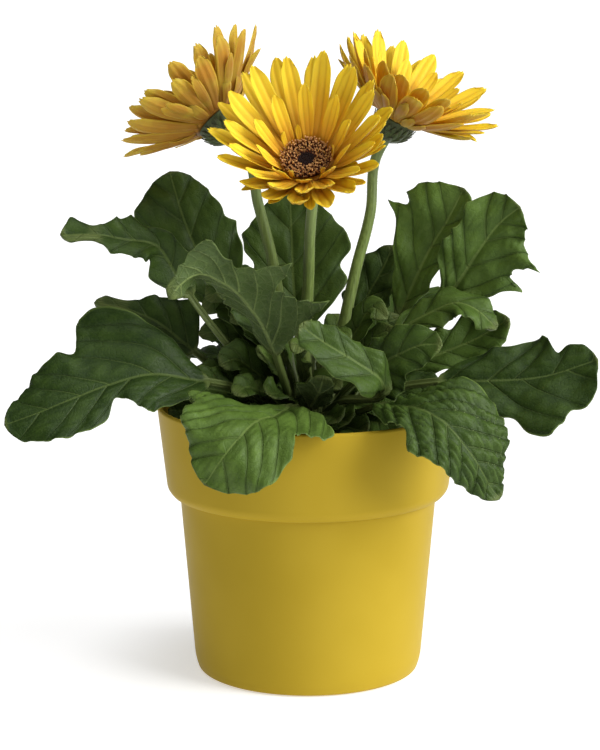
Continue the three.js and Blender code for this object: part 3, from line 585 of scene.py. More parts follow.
# radius, height and how far each corner is rounded
POT_OUTLINE = [
    (0, 0, 0), (FLOOR_RADIUS, 0, 2), (FOOT_RADIUS - 1.9, 0.7, 1.5), (FOOT_RADIUS + 0.1, 6.4, 4),
    (LEDGE_RADIUS, LEDGE_HEIGHT - 0.2, 0.3), (BAND_FOOT_RADIUS - 3, LEDGE_HEIGHT + 0.3, 1.2),
    (BAND_FOOT_RADIUS - 0.2, LEDGE_HEIGHT + 3.8, 2), (RIM_RADIUS, POT_HEIGHT - 0.9, 0.7),
    (RIM_RADIUS - 0.8, POT_HEIGHT, 0.5), (RIM_RADIUS - 2.3, POT_HEIGHT, 0.5),
    (RIM_RADIUS - WALL, POT_HEIGHT - 1.2, 0.6), (INNER_BAND, BAND_FOOT_HEIGHT + 1, 3),
    (LEDGE_RADIUS - WALL, LEDGE_HEIGHT - 3, 3), (FOOT_RADIUS + 0.5 - WALL, 14, 4),
    (FOOT_RADIUS - 8, 4, 3), (0, WALL, 0),
]
POT_SIDES = 180


def make_pot():
    pot = Form()
    outline = rounded(POT_OUTLINE)
    outline[[0, -1], 0] = AXIS
    pot.add(*turned(outline, POT_SIDES), (0, 0, 0))
    pot.piece("cover_pot", "pot", "pot")
    return pot.tree()


# the inside of the band, which widens over 40 mm up to the rim, at the soil's height
SOIL_EDGE = INNER_BAND + (RIM_RADIUS - WALL - INNER_BAND) * (SOIL_HEIGHT - 107) / 40 - GAP
SOIL_RINGS = 46
SOIL_SIDES = 144
CRUMBS = 1100
BARK_SHARE = 0.2


def soil_level(r):
    """The height that the rough top of the soil keeps to: a little lower towards the pot."""
    return SOIL_HEIGHT + 1.4 - 2.2 * r / SOIL_EDGE


def soil_bumps(x, y):
    return 1.5 * ripples(x, y, 5, 22) + 0.9 * ripples(x, y, 6, 8) + 0.5 * ripples(x, y, 7, 3.5)


def add_crumbs(soil, draw):
    """Loose crumbs of peat and slivers of bark, each a battered box that lies on the soil."""
    corner = np.array([(x, y, z) for x in (-1, 1) for y in (-1, 1) for z in (-1, 1)], float)
    box = [[0, 1, 3, 2], [4, 6, 7, 5], [0, 4, 5, 1], [2, 3, 7, 6], [0, 2, 6, 4], [1, 5, 7, 3]]
    for _ in range(CRUMBS):
        r, a = SOIL_EDGE * math.sqrt(draw.uniform(0.05, 0.95)), draw.uniform(0, TURN)
        bark = draw.random() < BARK_SHARE
        size = draw.uniform(0.5, 1.5) * np.array([2.4, 0.8, 0.5] if bark else [1, 0.9, 0.7])
        x, y, z = ((corner + draw.normal(0, 0.22, corner.shape)) * size).T
        turn, tip = draw.uniform(0, TURN), draw.normal(0, 0.4)
        x, z = spun(x, z, tip)
        x, y = spun(x, y, turn)
        at = polar(r, a, soil_level(r) + size[2] * 0.4)
        at[2] += soil_bumps(*at[:2])
        tint = draw.uniform(0.4, 1) if bark else draw.uniform(0, 0.35)
        soil.add(together(x, y, z) + at, box, (tint, 0, 0))


def make_soil():
    """Peat filling the pot, its top rough, with loose crumbs and bits of bark lying on it."""
    hole = HOLE_RADIUS - 2
    rings = [(r, soil_level(r)) for r in np.linspace(hole, SOIL_EDGE, SOIL_RINGS)]
    profile = [(AXIS, SOIL_HEIGHT - HOLE_DEPTH), (hole, SOIL_HEIGHT - HOLE_DEPTH), *rings,
               (INNER_BAND - 0.5, 108), (LEDGE_RADIUS - WALL - 0.6, 96), (FOOT_RADIUS - 3.2, 15),
               (FOOT_RADIUS - 9, 5), (AXIS, WALL + 0.4)]

    def roughen(r, a, z):
        open_top = smooth(z, SOIL_HEIGHT - 3, SOIL_HEIGHT - 1) * smooth(SOIL_EDGE - r, 0, 3)
        return 0, open_top * soil_bumps(r * np.cos(a), r * np.sin(a))

    soil = Form()
    soil.add(*turned(profile, SOIL_SIDES, roughen), (0.1, 0, 0))
    add_crumbs(soil, np.random.default_rng(41))
    soil.piece("potting_mix", "soil", "soil", flat=True)
    return soil.tree()


CROWN_OUTLINE = [
    (AXIS, 114.5, 0), (CROWN_RADIUS - 3, 115, 2), (CROWN_RADIUS - 0.5, SOIL_HEIGHT + 2, 5),
    (CROWN_RADIUS - 1.5, 137, 3), (CROWN_RADIUS - 5.5, CROWN_TOP - 2.5, 3),
    (AXIS, CROWN_TOP - 0.3, 0),
]
CROWN_SIDES = 120
CROWN_HAIRS = 1600
FOLDED_LEAVES = 9
FOLDED_RINGS = 14
FOLDED_SIDES = 12


def add_folded_leaves(crown, draw):
    """Leaves still folded, which stand up out of the middle of the crown."""
    t = np.linspace(0, 1, FOLDED_RINGS)[:, None]
    turn = np.arange(FOLDED_SIDES) * TURN / FOLDED_SIDES
    for _ in range(FOLDED_LEAVES):
        a, r = draw.uniform(0, TURN), draw.uniform(1, 7)
        lean = polar(draw.uniform(0.05, 0.45), a, 0)
        tall, wide = draw.uniform(9, 20), draw.uniform(1.3, 2.2)
        girth = wide * (0.35 + 1.1 * np.sin(np.pi * np.clip(t, 0.02, 0.985)) ** 0.7)
        ring = together(np.cos(turn) * girth, 0.6 * np.sin(turn) * girth, 0)
        spine = polar(r, a, CROWN_TOP - 5) + (lean + [0, 0, 1]) * t[..., None] * tall
        crown.add(*tube(ring + spine), (0.5, 0.0, 0.35))


def make_crown():
    """The squat downy crown, ribbed where the leaf stalks leave it, with folded young leaves."""

    def ribbed(r, a, z):
        upper = smooth(z, SOIL_HEIGHT - 4, SOIL_HEIGHT + 6) * smooth(r, 2, 8)
        return upper * (0.8 * np.sin(11 * a + 0.1 * z) + 0.4 * np.sin(23 * a - 0.2 * z)), 0

    crown = Form()
    crown.add(*turned(rounded(CROWN_OUTLINE, 7), CROWN_SIDES, ribbed), (0.5, 0.3, 0.2))
    draw = np.random.default_rng(77)
    add_folded_leaves(crown, draw)
    a, z = draw.uniform(0, TURN, CROWN_HAIRS), draw.uniform(SOIL_HEIGHT + 3, 139, CROWN_HAIRS)
    hairs(crown, polar(CROWN_RADIUS - 1.6, a, z), polar(1, a, 0.4), 1.8, 0.07, (0.5, 0, 0.9), 78)
    crown.piece("crown_with_young_leaves", "crown", "crown")


# ---- leaves ----
def lobed(left, right):
    """The plain pattern of lobes, side by side with half a step between left and right."""
    rows = [(0, 0.1, 0.1), (0.1, 0.44, 0.5), (0.2, 0.68, 0.6), (0.28, 0.54, 0.76), (0.4, 0.92, 0.68),
            (0.5, 0.8, 1), (0.6, 1, 0.86), (0.7, 0.84, 0.92), (0.8, 0.82, 0.7), (0.9, 0.52, 0.56),
            (0.96, 0.34, 0.32), (1, 0.07, 0.07)]
    return [(v, a * left, b * right) for v, a, b in rows]


# The leaf's tone, 0 dark, 1 light, more is paler still: its own green with painted light and shade on
# top, lighter or darker as each leaf stands in light or shade; pucker: height of the cushions between the
# side veins; crumple: height of the broader ripples; sharp: how pointed the lobes are, 0 to 1; jag: size
# of the teeth; veins: as VEINS. The wave, the fold, the start of the blade, the rib, the way the face
# looks and the half widths are those of the solids. Leaves of one kind share a few of these.
INNER = dict(pucker=0.6, wave=1.2, fold=(8, 4, 0), start=0.3,
             face=[(0, -0.6, 0.8), (0, -0.8, 0.6), (0, -0.8, 0.6)])
BACK = dict(pucker=0.8, wave=1.8, fold=(10, 6, 0), start=0.42)
LOW_BACK = dict(pucker=1.1, wave=2.4, fold=(10, 2, -6), start=0.36)
LEAVES = [
    dict(name="left_low", tone_and_painted_light=0.04, pucker=0.6, veins=(19, 1.1, 0.012), wave=2.4, fold=(10, 4, -6),
         start=0.35,
         rib=[(-12, -7, 136), (-34, -24, 159), (-62, -44, 170), (-83, -52, 174), (-103, -58, 170),
              (-121, -64, 164), (-142, -68, 156), (-158, -68, 150)],
         face=[(0, -0.5, 0.86), (-0.1, -0.75, 0.66), (-0.3, -0.7, 0.65)],
         half=[(0, 3, 3), (0.1, 16, 16), (0.22, 22, 26), (0.32, 24, 40), (0.4, 16, 47), (0.47, 9, 45),
               (0.55, 19, 27), (0.64, 22, 28), (0.74, 22, 27), (0.84, 18, 21), (0.93, 13, 14), (1, 5, 5)]),
    dict(name="left_mid", tone_and_painted_light=0.12, pucker=0.5, wave=1.4, fold=(12, 6, 0), start=0.5,
         rib=[(-12.5, 3, 138), (-32, 2, 154), (-51, 4, 167), (-67, 6, 180), (-84, 8, 193), (-102, 8, 200),
              (-117, 6, 203)],
         face=[(0, -0.5, 0.8), (0.1, -0.9, 0.4), (0.1, -0.7, 0.7)],
         half=[(0, 3, 3), (0.12, 14, 16), (0.25, 19, 22), (0.4, 17, 16), (0.52, 13, 13), (0.64, 7, 8),
               (0.76, 4, 5), (0.88, 4, 6), (1, 1.5, 1.5)]),
    dict(name="left_high", tone_and_painted_light=0.2, pucker=0.5, sharp=0.5, jag=2, wave=1.8, fold=(16, 12, 8), start=0.5,
         rib=[(-12, -2.5, 141), (-37, -10, 174), (-58, -14, 202), (-71, -16, 222), (-81, -20, 238),
              (-97, -26, 242), (-114, -30, 245), (-131, -32, 245)],
         face=[(-0.4, -0.7, 0.5), (-0.1, -0.85, 0.5), (0, -0.8, 0.6)],
         half=[(0, 3, 3), (0.1, 9, 10), (0.22, 13, 12), (0.36, 10, 10), (0.46, 14, 10), (0.56, 10, 13),
               (0.68, 9, 9), (0.8, 4, 5.5), (0.88, 4, 9), (0.94, 5, 10), (1, 1.5, 1.5)]),
    dict(name="left_round", tone_and_painted_light=0.3, pucker=0.7, crumple=1.2, veins=(18, 1.1, 0.01), wave=2,
         fold=(12, 6, -4), start=0.45,
         rib=[(-9.5, 7, 142), (-28, 12, 179), (-47, 16, 206), (-58, 18, 224), (-68, 20, 247),
              (-76, 26, 273)],
         face=[(0.3, -0.8, 0.5), (0.1, -0.95, 0.3), (0.1, -0.8, 0.5)],
         half=[(0, 3, 3), (0.12, 14, 14), (0.24, 19, 22), (0.36, 20, 25), (0.48, 24, 26), (0.58, 27, 22),
               (0.66, 28, 22), (0.77, 25, 19), (0.87, 18, 16), (0.95, 11, 10), (1, 4, 4)]),
    dict(name="back_tall", tone_and_painted_light=0.42, pucker=0.6, crumple=1.5, veins=(18, 1, 0.009), wave=2,
         fold=(10, 6, 0), start=0.36,
         rib=[(-2.5, 11, 142), (-4, 26, 156), (-6, 32, 184), (-8, 38, 208), (-9, 44, 233), (-10, 50, 259)],
         face=[(0, -0.8, 0.5), (0, -0.93, 0.35), (0, -0.85, 0.5)],
         half=[(0, 3, 3), (0.1, 12, 14), (0.22, 20, 24), (0.35, 24, 30), (0.46, 22, 27), (0.58, 27, 33),
               (0.68, 28, 31), (0.78, 22, 25), (0.88, 17, 19), (0.95, 11, 12), (1, 3, 3)]),
    dict(name="front_fold", tone_and_painted_light=0.4, pucker=0.5, sharp=1, jag=3.5, wave=1.6, fold=(10, 14, 18),
         start=0.34,
         rib=[(-7, -9, 141), (-13, -26, 166), (-19, -34, 186), (-24, -40, 199), (-31, -46, 210),
              (-37, -52, 218), (-46, -58, 225), (-56, -62, 229), (-66, -66, 224), (-72, -68, 216)],
         face=[(0.5, 0.8, 0.2), (0.4, 0.8, 0.45), (0.3, 0.7, 0.7)],
         half=[(0, 3, 3), (0.1, 18, 8), (0.2, 43, 11), (0.28, 25, 12), (0.37, 18, 16), (0.48, 37, 13),
               (0.57, 17, 16), (0.66, 13, 12), (0.76, 21, 13), (0.86, 7, 8), (0.94, 5, 6), (1, 1.5, 1.5)]),
    dict(name="front_drape", tone_and_painted_light=0.75, pucker=0.9, crumple=1, veins=(15, 0.7, 0.026), wave=2,
         fold=(8, -4, -8), start=0.34,
         rib=[(-4.5, -13.5, 136), (-7, -40, 154), (-17, -68, 156), (-29, -90, 155), (-41, -103, 144),
              (-53, -102, 126)],
         face=[(0, -0.3, 1), (-0.1, -0.6, 0.8), (-0.2, -0.95, 0.3)],
         half=[(0, 3, 3), (0.1, 26, 12), (0.2, 36, 20), (0.3, 28, 36), (0.38, 22, 44), (0.46, 26, 36),
               (0.56, 29, 36), (0.66, 29, 34), (0.76, 28, 31), (0.86, 23, 23), (0.94, 15, 14), (1, 4, 4)]),
    dict(name="front_mid", tone_and_painted_light=0.38, pucker=0.9, crumple=1.2, veins=(15, 0.9, 0.016), wave=1.4,
         fold=(10, 8, 4), start=0.48,
         rib=[(5.5, -10.5, 140), (17, -29, 155), (39, -47, 162), (38, -57, 172), (24, -62, 183),
              (8, -63, 193), (-5, -62, 202)],
         face=[(0, -0.3, 0.95), (0, -0.75, 0.65), (0.1, -0.8, 0.6)],
         half=[(0, 3, 3), (0.12, 12, 8), (0.28, 17, 11), (0.42, 14, 11), (0.56, 15, 10), (0.7, 12, 11),
               (0.84, 11, 9), (0.94, 7, 6), (1, 2, 2)]),
    dict(name="front_inner", tone_and_painted_light=0.3, pucker=0.5, wave=1, fold=(10, 4, 0), start=0.4,
         rib=[(1.5, -14, 136), (0, -24, 149), (3, -34, 157), (6, -41, 164), (8, -45, 172)],
         face=[(0, 0.6, 0.8), (0, 0.75, 0.65), (0, 0.8, 0.55)],
         half=[(0, 3, 3), (0.2, 7, 9), (0.4, 9, 11), (0.6, 8, 12), (0.8, 7, 9), (0.93, 5, 5),
               (1, 1.5, 1.5)]),
    dict(name="right_high", tone_and_painted_light=1.2, pucker=0.8, sharp=1, jag=3, crumple=2, veins=(16, 1.1, 0.01),
         wave=1.8, fold=(18, 14, 8), start=0.45,
         rib=[(9.5, 7, 142), (42, 22, 174), (50, 24, 190), (58, 22, 211), (67, 20, 231), (75, 17, 245),
              (85, 14, 265)],
         face=[(-0.5, -0.7, 0.4), (-0.35, -0.9, 0.2), (-0.2, -0.85, 0.5)],
         half=[(0, 3, 3), (0.12, 8, 6), (0.27, 14, 10), (0.4, 19, 12), (0.5, 23, 13), (0.6, 35, 14),
               (0.68, 25, 15), (0.77, 25, 16), (0.86, 25, 15), (0.94, 16, 11), (1, 3, 3)]),
    dict(name="right_tall", tone_and_painted_light=0.7, pucker=0.8, sharp=1, jag=3, crumple=2, veins=(16, 1.1, 0.01),
         wave=1.8, fold=(16, 12, 6), start=0.56,
         rib=[(12.5, 2.5, 140), (50, 8, 176), (67, 8, 195), (81, 6, 213), (92, 3, 231), (104, 0, 248),
              (114, -5, 257)],
         face=[(-0.3, -0.6, 0.7), (0, -0.93, 0.35), (0.1, -0.9, 0.4)],
         half=[(0, 3, 3), (0.1, 9, 11), (0.24, 18, 20), (0.4, 21, 33), (0.5, 18, 21), (0.65, 19, 36),
               (0.73, 20, 24), (0.8, 18, 18), (0.9, 14, 14), (0.96, 9, 10), (1, 3, 3)]),
    dict(name="right_mid", tone_and_painted_light=0.55, pucker=0.6, sharp=0.6, jag=1.6, crumple=1, wave=1.4,
         fold=(10, 6, 0), start=0.48,
         rib=[(13, -2, 139), (35, -6, 168), (51, -7, 191), (66, -8, 200), (81, -12, 206), (93, -16, 201),
              (101, -18, 192)],
         face=[(-0.4, -0.5, 0.75), (-0.1, -0.6, 0.8), (0.3, -0.55, 0.8)],
         half=[(0, 3, 3), (0.12, 9, 9), (0.28, 12, 11), (0.4, 9, 14), (0.52, 12, 11), (0.64, 10, 15),
               (0.76, 11, 10), (0.88, 8, 9), (1, 2, 2)]),
    dict(name="right_small", tone_and_painted_light=0.35, pucker=0.6, crumple=1, wave=1.2, fold=(8, 4, 0), start=0.4,
         rib=[(10, -7, 140), (21, -22, 160), (34, -37, 174), (48, -47, 184), (61, -53, 190),
              (70, -56, 190)],
         face=[(-0.2, -0.2, 0.95), (0, -0.9, 0.4), (0.1, -0.85, 0.5)],
         half=[(0, 3, 3), (0.12, 8, 12), (0.3, 14, 21), (0.45, 13, 18), (0.6, 15, 12), (0.75, 12, 12),
               (0.9, 8, 9), (1, 2, 2)]),
    dict(name="right_up_low", tone_and_painted_light=0.5, pucker=0.6, jag=1.5, crumple=1, wave=1.4, fold=(8, 4, 0),
         start=0.46,
         rib=[(13.5, 5.5, 134), (50, 16, 163), (74, 19, 173), (93, 19, 181), (111, 14, 193)],
         face=[(-0.2, -0.6, 0.8), (0, -0.85, 0.5), (0.1, -0.85, 0.5)],
         half=[(0, 3, 3), (0.15, 9, 9), (0.32, 14, 12), (0.45, 11, 14), (0.6, 16, 12), (0.75, 14, 12),
               (0.9, 9, 8), (1, 2, 2)]),
    dict(name="right_low", tone_and_painted_light=0.1, pucker=0.6, crumple=1, veins=(20, 0.9, 0.009), wave=2.2,
         fold=(6, 2, 8), start=0.44,
         rib=[(12, -7, 135), (44, -14, 158), (71, -24, 165), (97, -32, 167), (123, -38, 170),
              (153, -42, 180)],
         face=[(0, -0.4, 0.9), (0, -0.75, 0.65), (0.1, -0.7, 0.7)],
         half=[(0, 3, 3), (0.1, 12, 14), (0.24, 18, 20), (0.36, 20, 22), (0.46, 22, 24), (0.55, 25, 34),
               (0.63, 26, 38), (0.7, 23, 33), (0.77, 12, 26), (0.85, 13, 25), (0.93, 12, 20), (1, 4, 4)]),
    dict(name="right_front", tone_and_painted_light=0.33, pucker=1.9, veins=(13, 0.9, 0.012), wave=2.4, fold=(6, 0, -8),
         start=0.34,
         rib=[(9, -10.5, 136), (34, -44, 155), (45, -66, 161), (57, -80, 162), (70, -89, 156),
              (83, -93, 141), (98, -88, 115)],
         face=[(0.1, -0.3, 0.95), (0.3, -0.7, 0.65), (0.5, -0.85, 0.25)],
         half=[(0, 3, 3), (0.08, 10, 9), (0.17, 22, 14), (0.27, 26, 19), (0.36, 28, 17), (0.46, 31, 26),
               (0.56, 32, 24), (0.66, 30, 20), (0.76, 26, 17), (0.86, 18, 12), (0.94, 11, 8), (1, 2, 2)]),
    dict(name="back_right_tall", tone_and_painted_light=0.2, pucker=0.7, wave=1.4, fold=(10, 6, 0), start=0.4,
         rib=[(3, 10.5, 142.5), (14, 28, 163), (25, 37, 184), (33, 41, 201), (42, 43, 217), (48, 44, 230)],
         face=[(-0.1, -0.8, 0.5), (-0.1, -0.9, 0.4), (0, -0.9, 0.4)], half=lobed(15, 14)),
    dict(INNER, name="left_inner", tone_and_painted_light=0.15,
         rib=[(-14.5, -1.5, 134), (-32, -7, 150), (-50, -9, 157), (-64, -11, 161), (-76, -12, 159)],
         half=lobed(14, 10)),
    dict(INNER, name="right_inner", tone_and_painted_light=0.2,
         rib=[(14, -3.5, 133), (32, 0, 149), (48, 2, 155), (62, 3, 158), (76, 2, 156)],
         half=lobed(10, 13)),
    dict(BACK, name="back_left_mid", tone_and_painted_light=0.3,
         rib=[(-6.5, 11.5, 138), (-22, 36, 172), (-36, 56, 196), (-50, 72, 210), (-66, 86, 214)],
         face=[(0.2, -0.5, 0.8), (0.2, -0.3, 0.95), (0, 0, 1)], half=lobed(22, 22)),
    dict(BACK, name="back_right_mid", tone_and_painted_light=0.35,
         rib=[(7.5, 10.5, 138.5), (26, 29, 165), (44, 49, 186), (62, 66, 198), (78, 82, 200)],
         face=[(-0.2, -0.5, 0.8), (-0.2, -0.3, 0.95), (0, 0, 1)], half=lobed(22, 22)),
    dict(LOW_BACK, name="back_left_low", tone_and_painted_light=0.35,
         rib=[(-10, 10.5, 134), (-30, 32, 156), (-56, 60, 166), (-80, 84, 160), (-100, 104, 140)],
         face=[(0, 0.1, 1), (-0.2, 0.2, 1), (-0.5, 0.5, 0.7)], half=lobed(28, 30)),
    dict(LOW_BACK, name="back_low", tone_and_painted_light=0.5,
         rib=[(0.5, 14.5, 134), (2, 40, 158), (4, 76, 168), (6, 108, 160), (8, 132, 138)],
         face=[(0, 0, 1), (0, 0.2, 1), (0, 0.7, 0.7)], half=lobed(29, 27)),
    dict(LOW_BACK, name="back_right_low", tone_and_painted_light=0.4,
         rib=[(11, 9.5, 134), (32, 32, 156), (60, 58, 166), (88, 82, 160), (110, 100, 140)],
         face=[(0, 0.1, 1), (0.2, 0.2, 1), (0.5, 0.5, 0.7)], half=lobed(26, 27)),
]

# spacing of the side veins, how far one runs forward for each millimetre outward, and its bend
VEINS = (14, 1.1, 0.009)
NET_STEP = 6.5  # between the small veins that join two side veins
STALK_HALF = (2.2, 1.9)  # half the thickness of a leaf stalk, at its foot and where the blade starts
STALK_STEP = 2.5  # between two rows of points
BLADE_STEPS = (1.15, 1.5)  # the same on the blade, and between two columns
# first seeds of the large and of the young leaves: each leaf uses some of the 20 from its own on
LEAF_SEED, YOUNG_SEED, SEED_STEP = 500, 700, 20


def vein_roots(rows, column, length, spacing, forward, bend):
    """Where the side veins leave the midrib, so that one runs out to each lobe."""
    ends = [(rows[k][0] * length, rows[k][column]) for k in range(1, len(rows) - 1)
            if rows[k][column] >= max(rows[k - 1][column], rows[k + 1][column])]
    roots = sorted(y - forward * w - bend * w * w for y, w in ends)
    fixed = [-6 * spacing]
    for y in [*roots, length + 4 * spacing]:
        if y - fixed[-1] > 0.6 * spacing:
            steps = max(1, round((y - fixed[-1]) / spacing))
            fixed += list(np.linspace(fixed[-1], y, steps + 1)[1:])
    fixed = np.array(fixed)
    return fixed + 0.14 * spacing * np.sin(2.1 * np.arange(len(fixed)) + column + length)


def vein_field(leaf, u, x, y, length):
    """At x out from the midrib and y along it: the count of side veins passed, the gap between
    them in millimetres, and how much longer a line runs along them than straight outward."""
    _, onward, bend = veins = leaf.get("veins", VEINS)
    root = y - onward * x - bend * x * x
    slant = np.hypot(1, onward + 2 * bend * x)
    roots = [vein_roots(leaf["half"], c, length, *veins) for c in (1, 2)]
    counts = [np.interp(root, r, np.arange(len(r))) for r in roots]
    steps = [np.interp(root, r[:-1], np.diff(r)) for r in roots]
    return np.where(u < 0, *counts), np.where(u < 0, *steps) / slant, slant


def leaf_axes(leaf, path, t):
    """Places on the rib, and the ways along it, to its side and up from it."""
    place, along = path.at(t)
    looks = [(k, *f) for k, f in zip(np.linspace(0, 1, len(leaf["face"])), leaf["face"])]
    hint = np.stack([through(looks, t, c) for c in (1, 2, 3)], axis=-1)
    side = unit(np.cross(along, hint))
    return place, along, side, unit(np.cross(side, along))


def leaf_width(leaf, t, v, u, stalk, tip):
    """How far the edge is from the rib, on the side that u says."""
    widths = []
    for column in (1, 2):
        blade = np.maximum(through(leaf["half"], v, column, leaf.get("sharp", 0)), 1.2)
        widths.append((np.where(t <= leaf["start"], stalk, blade) * tip)[:, None])
    return np.where(u < 0, *widths)


def leaf_swell(leaf, seed, x, y, out, count, slant):
    """The height of the cushions between the veins, in millimetres, and how light the leaf is, with
    painted light on the cushions' tops and painted shade between them.
    """
    rung = x * slant / NET_STEP + 0.37 * np.floor(count) + 0.35 * ripples(x, y, seed + 5, 20)
    rung_gap = 2 * np.abs(rung - np.round(rung))
    deep = min(0.9, 0.5 * leaf["pucker"])
    pillow = 1 - (1 - np.clip(2 * np.abs(count - np.round(count)), 0, 1)) ** 2.4
    cushion = (1 - hump(x, 3)) * pillow * (1 - deep * (1 - rung_gap) ** 2.4) * (1 - out**8)
    crumpled = ripples(x, y, seed + 9, 11)
    height = (leaf["pucker"] * ((1.6 + 0.6 * ripples(x, y, seed + 13, 40)) * (cushion - 0.5)
                                + 0.5 * crumpled * cushion)
              + leaf.get("crumple", 0.5) * ripples(x, y, seed + 7, 30) * smooth(x, 0, 8))
    # the tone is lighter on the tops of the cushions and darker between them: painted light and shade on
    # the relief
    return height, leaf["tone_and_painted_light"] + (0.12 + 0.12 * leaf["pucker"]) * (cushion - 0.6) + 0.07 * crumpled


class Blade(Form):
    """Leaves in one mesh, with what their finish needs to know on each point."""

    def __init__(self):
        super().__init__()
        self.veins, self.rims = [], []

    def add_leaf(self, leaf, seed, row_step, column_step):
        path, start = Path(leaf["rib"]), leaf["start"]
        length = path.length * (1 - start)
        broadest = max(max(r[1:]) for r in leaf["half"])
        widest = max(r[1] + r[2] for r in leaf["half"]) / 2
        t = np.concatenate([
            np.linspace(0, start, int(path.length * start / STALK_STEP), endpoint=False),
            np.linspace(start, 1, int(length / row_step))])
        u = np.linspace(-1, 1, 2 * int(broadest / column_step / 1.2) + 9)[None, :]
        place, along, side, up = leaf_axes(leaf, path, t)

        # the flat outline: x out from the rib, y along the blade
        v = np.clip((t - start) / (1 - start), 0, 1)
        stalk = lerp(*STALK_HALF, np.clip(t / start, 0, 1)) * leaf.get("stout", 1)
        tip = np.sqrt(np.clip(1 - ((v - 0.965) / 0.035).clip(0) ** 2, 0.0025, 1))
        width = leaf_width(leaf, t, v, u, stalk, tip)
        fold = through([(k / 2, f) for k, f in enumerate(leaf["fold"])], v)[:, None]
        stalk, v, tip, out = stalk[:, None], v[:, None], tip[:, None], np.abs(u)
        x, y = out * width, v * length
        share = np.clip((width - 3) / 6, 0, 1) * smooth(v, 0, 0.03)  # 0 on the stalk, 1 on the blade
        count, spacing, slant = vein_field(leaf, u, x, y, length)
        nearest = np.round(count)
        from_vein = np.abs(count - nearest) * spacing
        arcs = (1 - 2 * np.abs(count - nearest)) ** 2 * (0.75 + 0.4 * np.sin(2.4 * nearest + seed))
        tooth = share * out**6 * (leaf.get("jag", 1) * (arcs - 0.35) + 0.45 * ripples(y, x, seed, 14))
        x = lerp(width * np.sin(out * np.pi / 2), x, share) + tooth

        # bent into space: folded along the rib, waved and ruffled at the edge
        angle = np.radians(fold * share)
        wave = (leaf["wave"] * np.minimum(1, width / widest) * share * out**1.5
                * np.sin(TURN * (2.6 * v + np.where(u < 0, 0.2, 0.55))))
        ruffle = share * out**3 * (0.9 * np.sin(TURN * count) + 0.9 * ripples(y, 0 * y, seed + 3, 17)
                                   + 0.35 * np.sin(2 * TURN * count + 1))
        forward = np.where(u < 0, 0.22, 0.12) * x * share * (1 - v)
        place, along, side, up = (w[:, None, :] for w in (place, along, side, up))
        turn = np.sign(u)[..., None] * side
        normal = up * np.cos(angle)[..., None] - turn * np.sin(angle)[..., None]
        middle = (place + turn * (x * np.cos(angle))[..., None]
                  + up * (x * np.sin(angle) + wave + ruffle)[..., None] + along * forward[..., None])

        # the two skins: a round stalk that thins into the blade, with its ribs below
        swell, tone_with_painted_relief = leaf_swell(leaf, seed, x, y, out, count, slant)
        swell = share * swell
        round_half = stalk * np.sqrt(np.clip(1 - out * out, 0, 1)) * tip
        thin = lerp(0.32, 0.12, out**2)
        midrib = share * hump(x, 1.3) * lerp(1.5, 0.3, v)
        side_rib = share * hump(from_vein, 0.9) * lerp(0.6, 0.15, out) * (1 - hump(x, 1.5))
        over = lerp(round_half * (1 - 0.5 * hump(out, 0.35)),
                    thin + swell - 0.25 * midrib - 0.5 * side_rib, share)
        under = lerp(-round_half, swell - thin - midrib - side_rib, share)
        points, faces = shell(middle + normal * over[..., None], middle + normal * under[..., None])
        across = np.sign(u) * x
        self.add(points, faces, np.concatenate([listed(across, y, k) for k in (0, 1)]))
        self.veins += [listed(count, spacing, share)] * 2
        self.rims += [listed(out, v, tone_with_painted_relief)] * 2

    def piece(self, name, node, slot):
        made = super().piece(name, node, slot)
        for layer, values in (("vein", self.veins), ("rim", self.rims)):
            numbers = made.data.attributes.new(layer, "FLOAT_VECTOR", "POINT")
            numbers.data.foreach_set("vector", np.concatenate(values).ravel())


def make_leaf(number, leaf):
    blade = Blade()
    blade.add_leaf(leaf, LEAF_SEED + SEED_STEP * number, *BLADE_STEPS)
    blade.piece("leaf_" + leaf["name"] + "_blade", "leaf_" + leaf["name"], "leaf")
    return blade.tree()


# The small leaves still unfolding in the crown, too small for the solids:
# way it points (degrees from +X), reach, height of its tip over the crown, half width, and a lightness
# that holds painted light as well as the leaf's own tone
YOUNG_LEAVES = [
    (168, 50, 26, 10, 0.05), (182, 60, 46, 12, 0.12), (196, 44, 58, 10, 0.15), (206, 58, 22, 12, 0.1),
    (219, 42, 38, 10, 0.3), (232, 50, 52, 10, 0.12), (246, 40, 20, 10, 0.2), (262, 34, 44, 9, 0.25),
    (288, 38, 22, 9, 0.1), (306, 44, 50, 9, 0.2), (322, 40, 30, 10, 0.15), (340, 50, 48, 10, 0.2),
    (2, 44, 62, 10, 0.15), (24, 46, 34, 10, 0.1), (62, 40, 50, 10, 0.1), (98, 44, 36, 10, 0.15),
    (130, 46, 56, 11, 0.1), (150, 42, 40, 12, 0.05), (175, 54, 64, 14, 0.05), (160, 50, 72, 13, 0.05),
    (188, 52, 34, 13, 0.02), (172, 64, 16, 13, 0.02), (186, 66, 9, 12, 0), (202, 64, 8, 13, 0),
    (218, 60, 12, 12, 0.02), (238, 52, 12, 12, 0.05), (262, 50, 16, 13, 0.02), (280, 52, 13, 12, 0.05),
    (297, 54, 17, 12, 0.02), (306, 62, 7, 12, 0.02), (319, 60, 11, 12, 0.05), (332, 58, 20, 12, 0.05),
    (352, 56, 30, 12, 0.1), (14, 52, 44, 12, 0.05), (178, 73, 13, 14, 0.03), (194, 74, 12, 14, 0.03),
    (164, 56, 46, 14, 0.03), (180, 58, 58, 13, 0.06), (208, 70, 11, 13, 0.05), (325, 68, 9, 12, 0.05),
    (176, 64, 66, 15, 0), (184, 64, 18, 12, 0), (186, 76, 2, 16, 0),
    (172, 75, 5, 15, 0), (301, 66, 0, 14, 0.1), (313, 68, 2, 15, 0.05), (290, 60, 4, 14, 0.05),
]

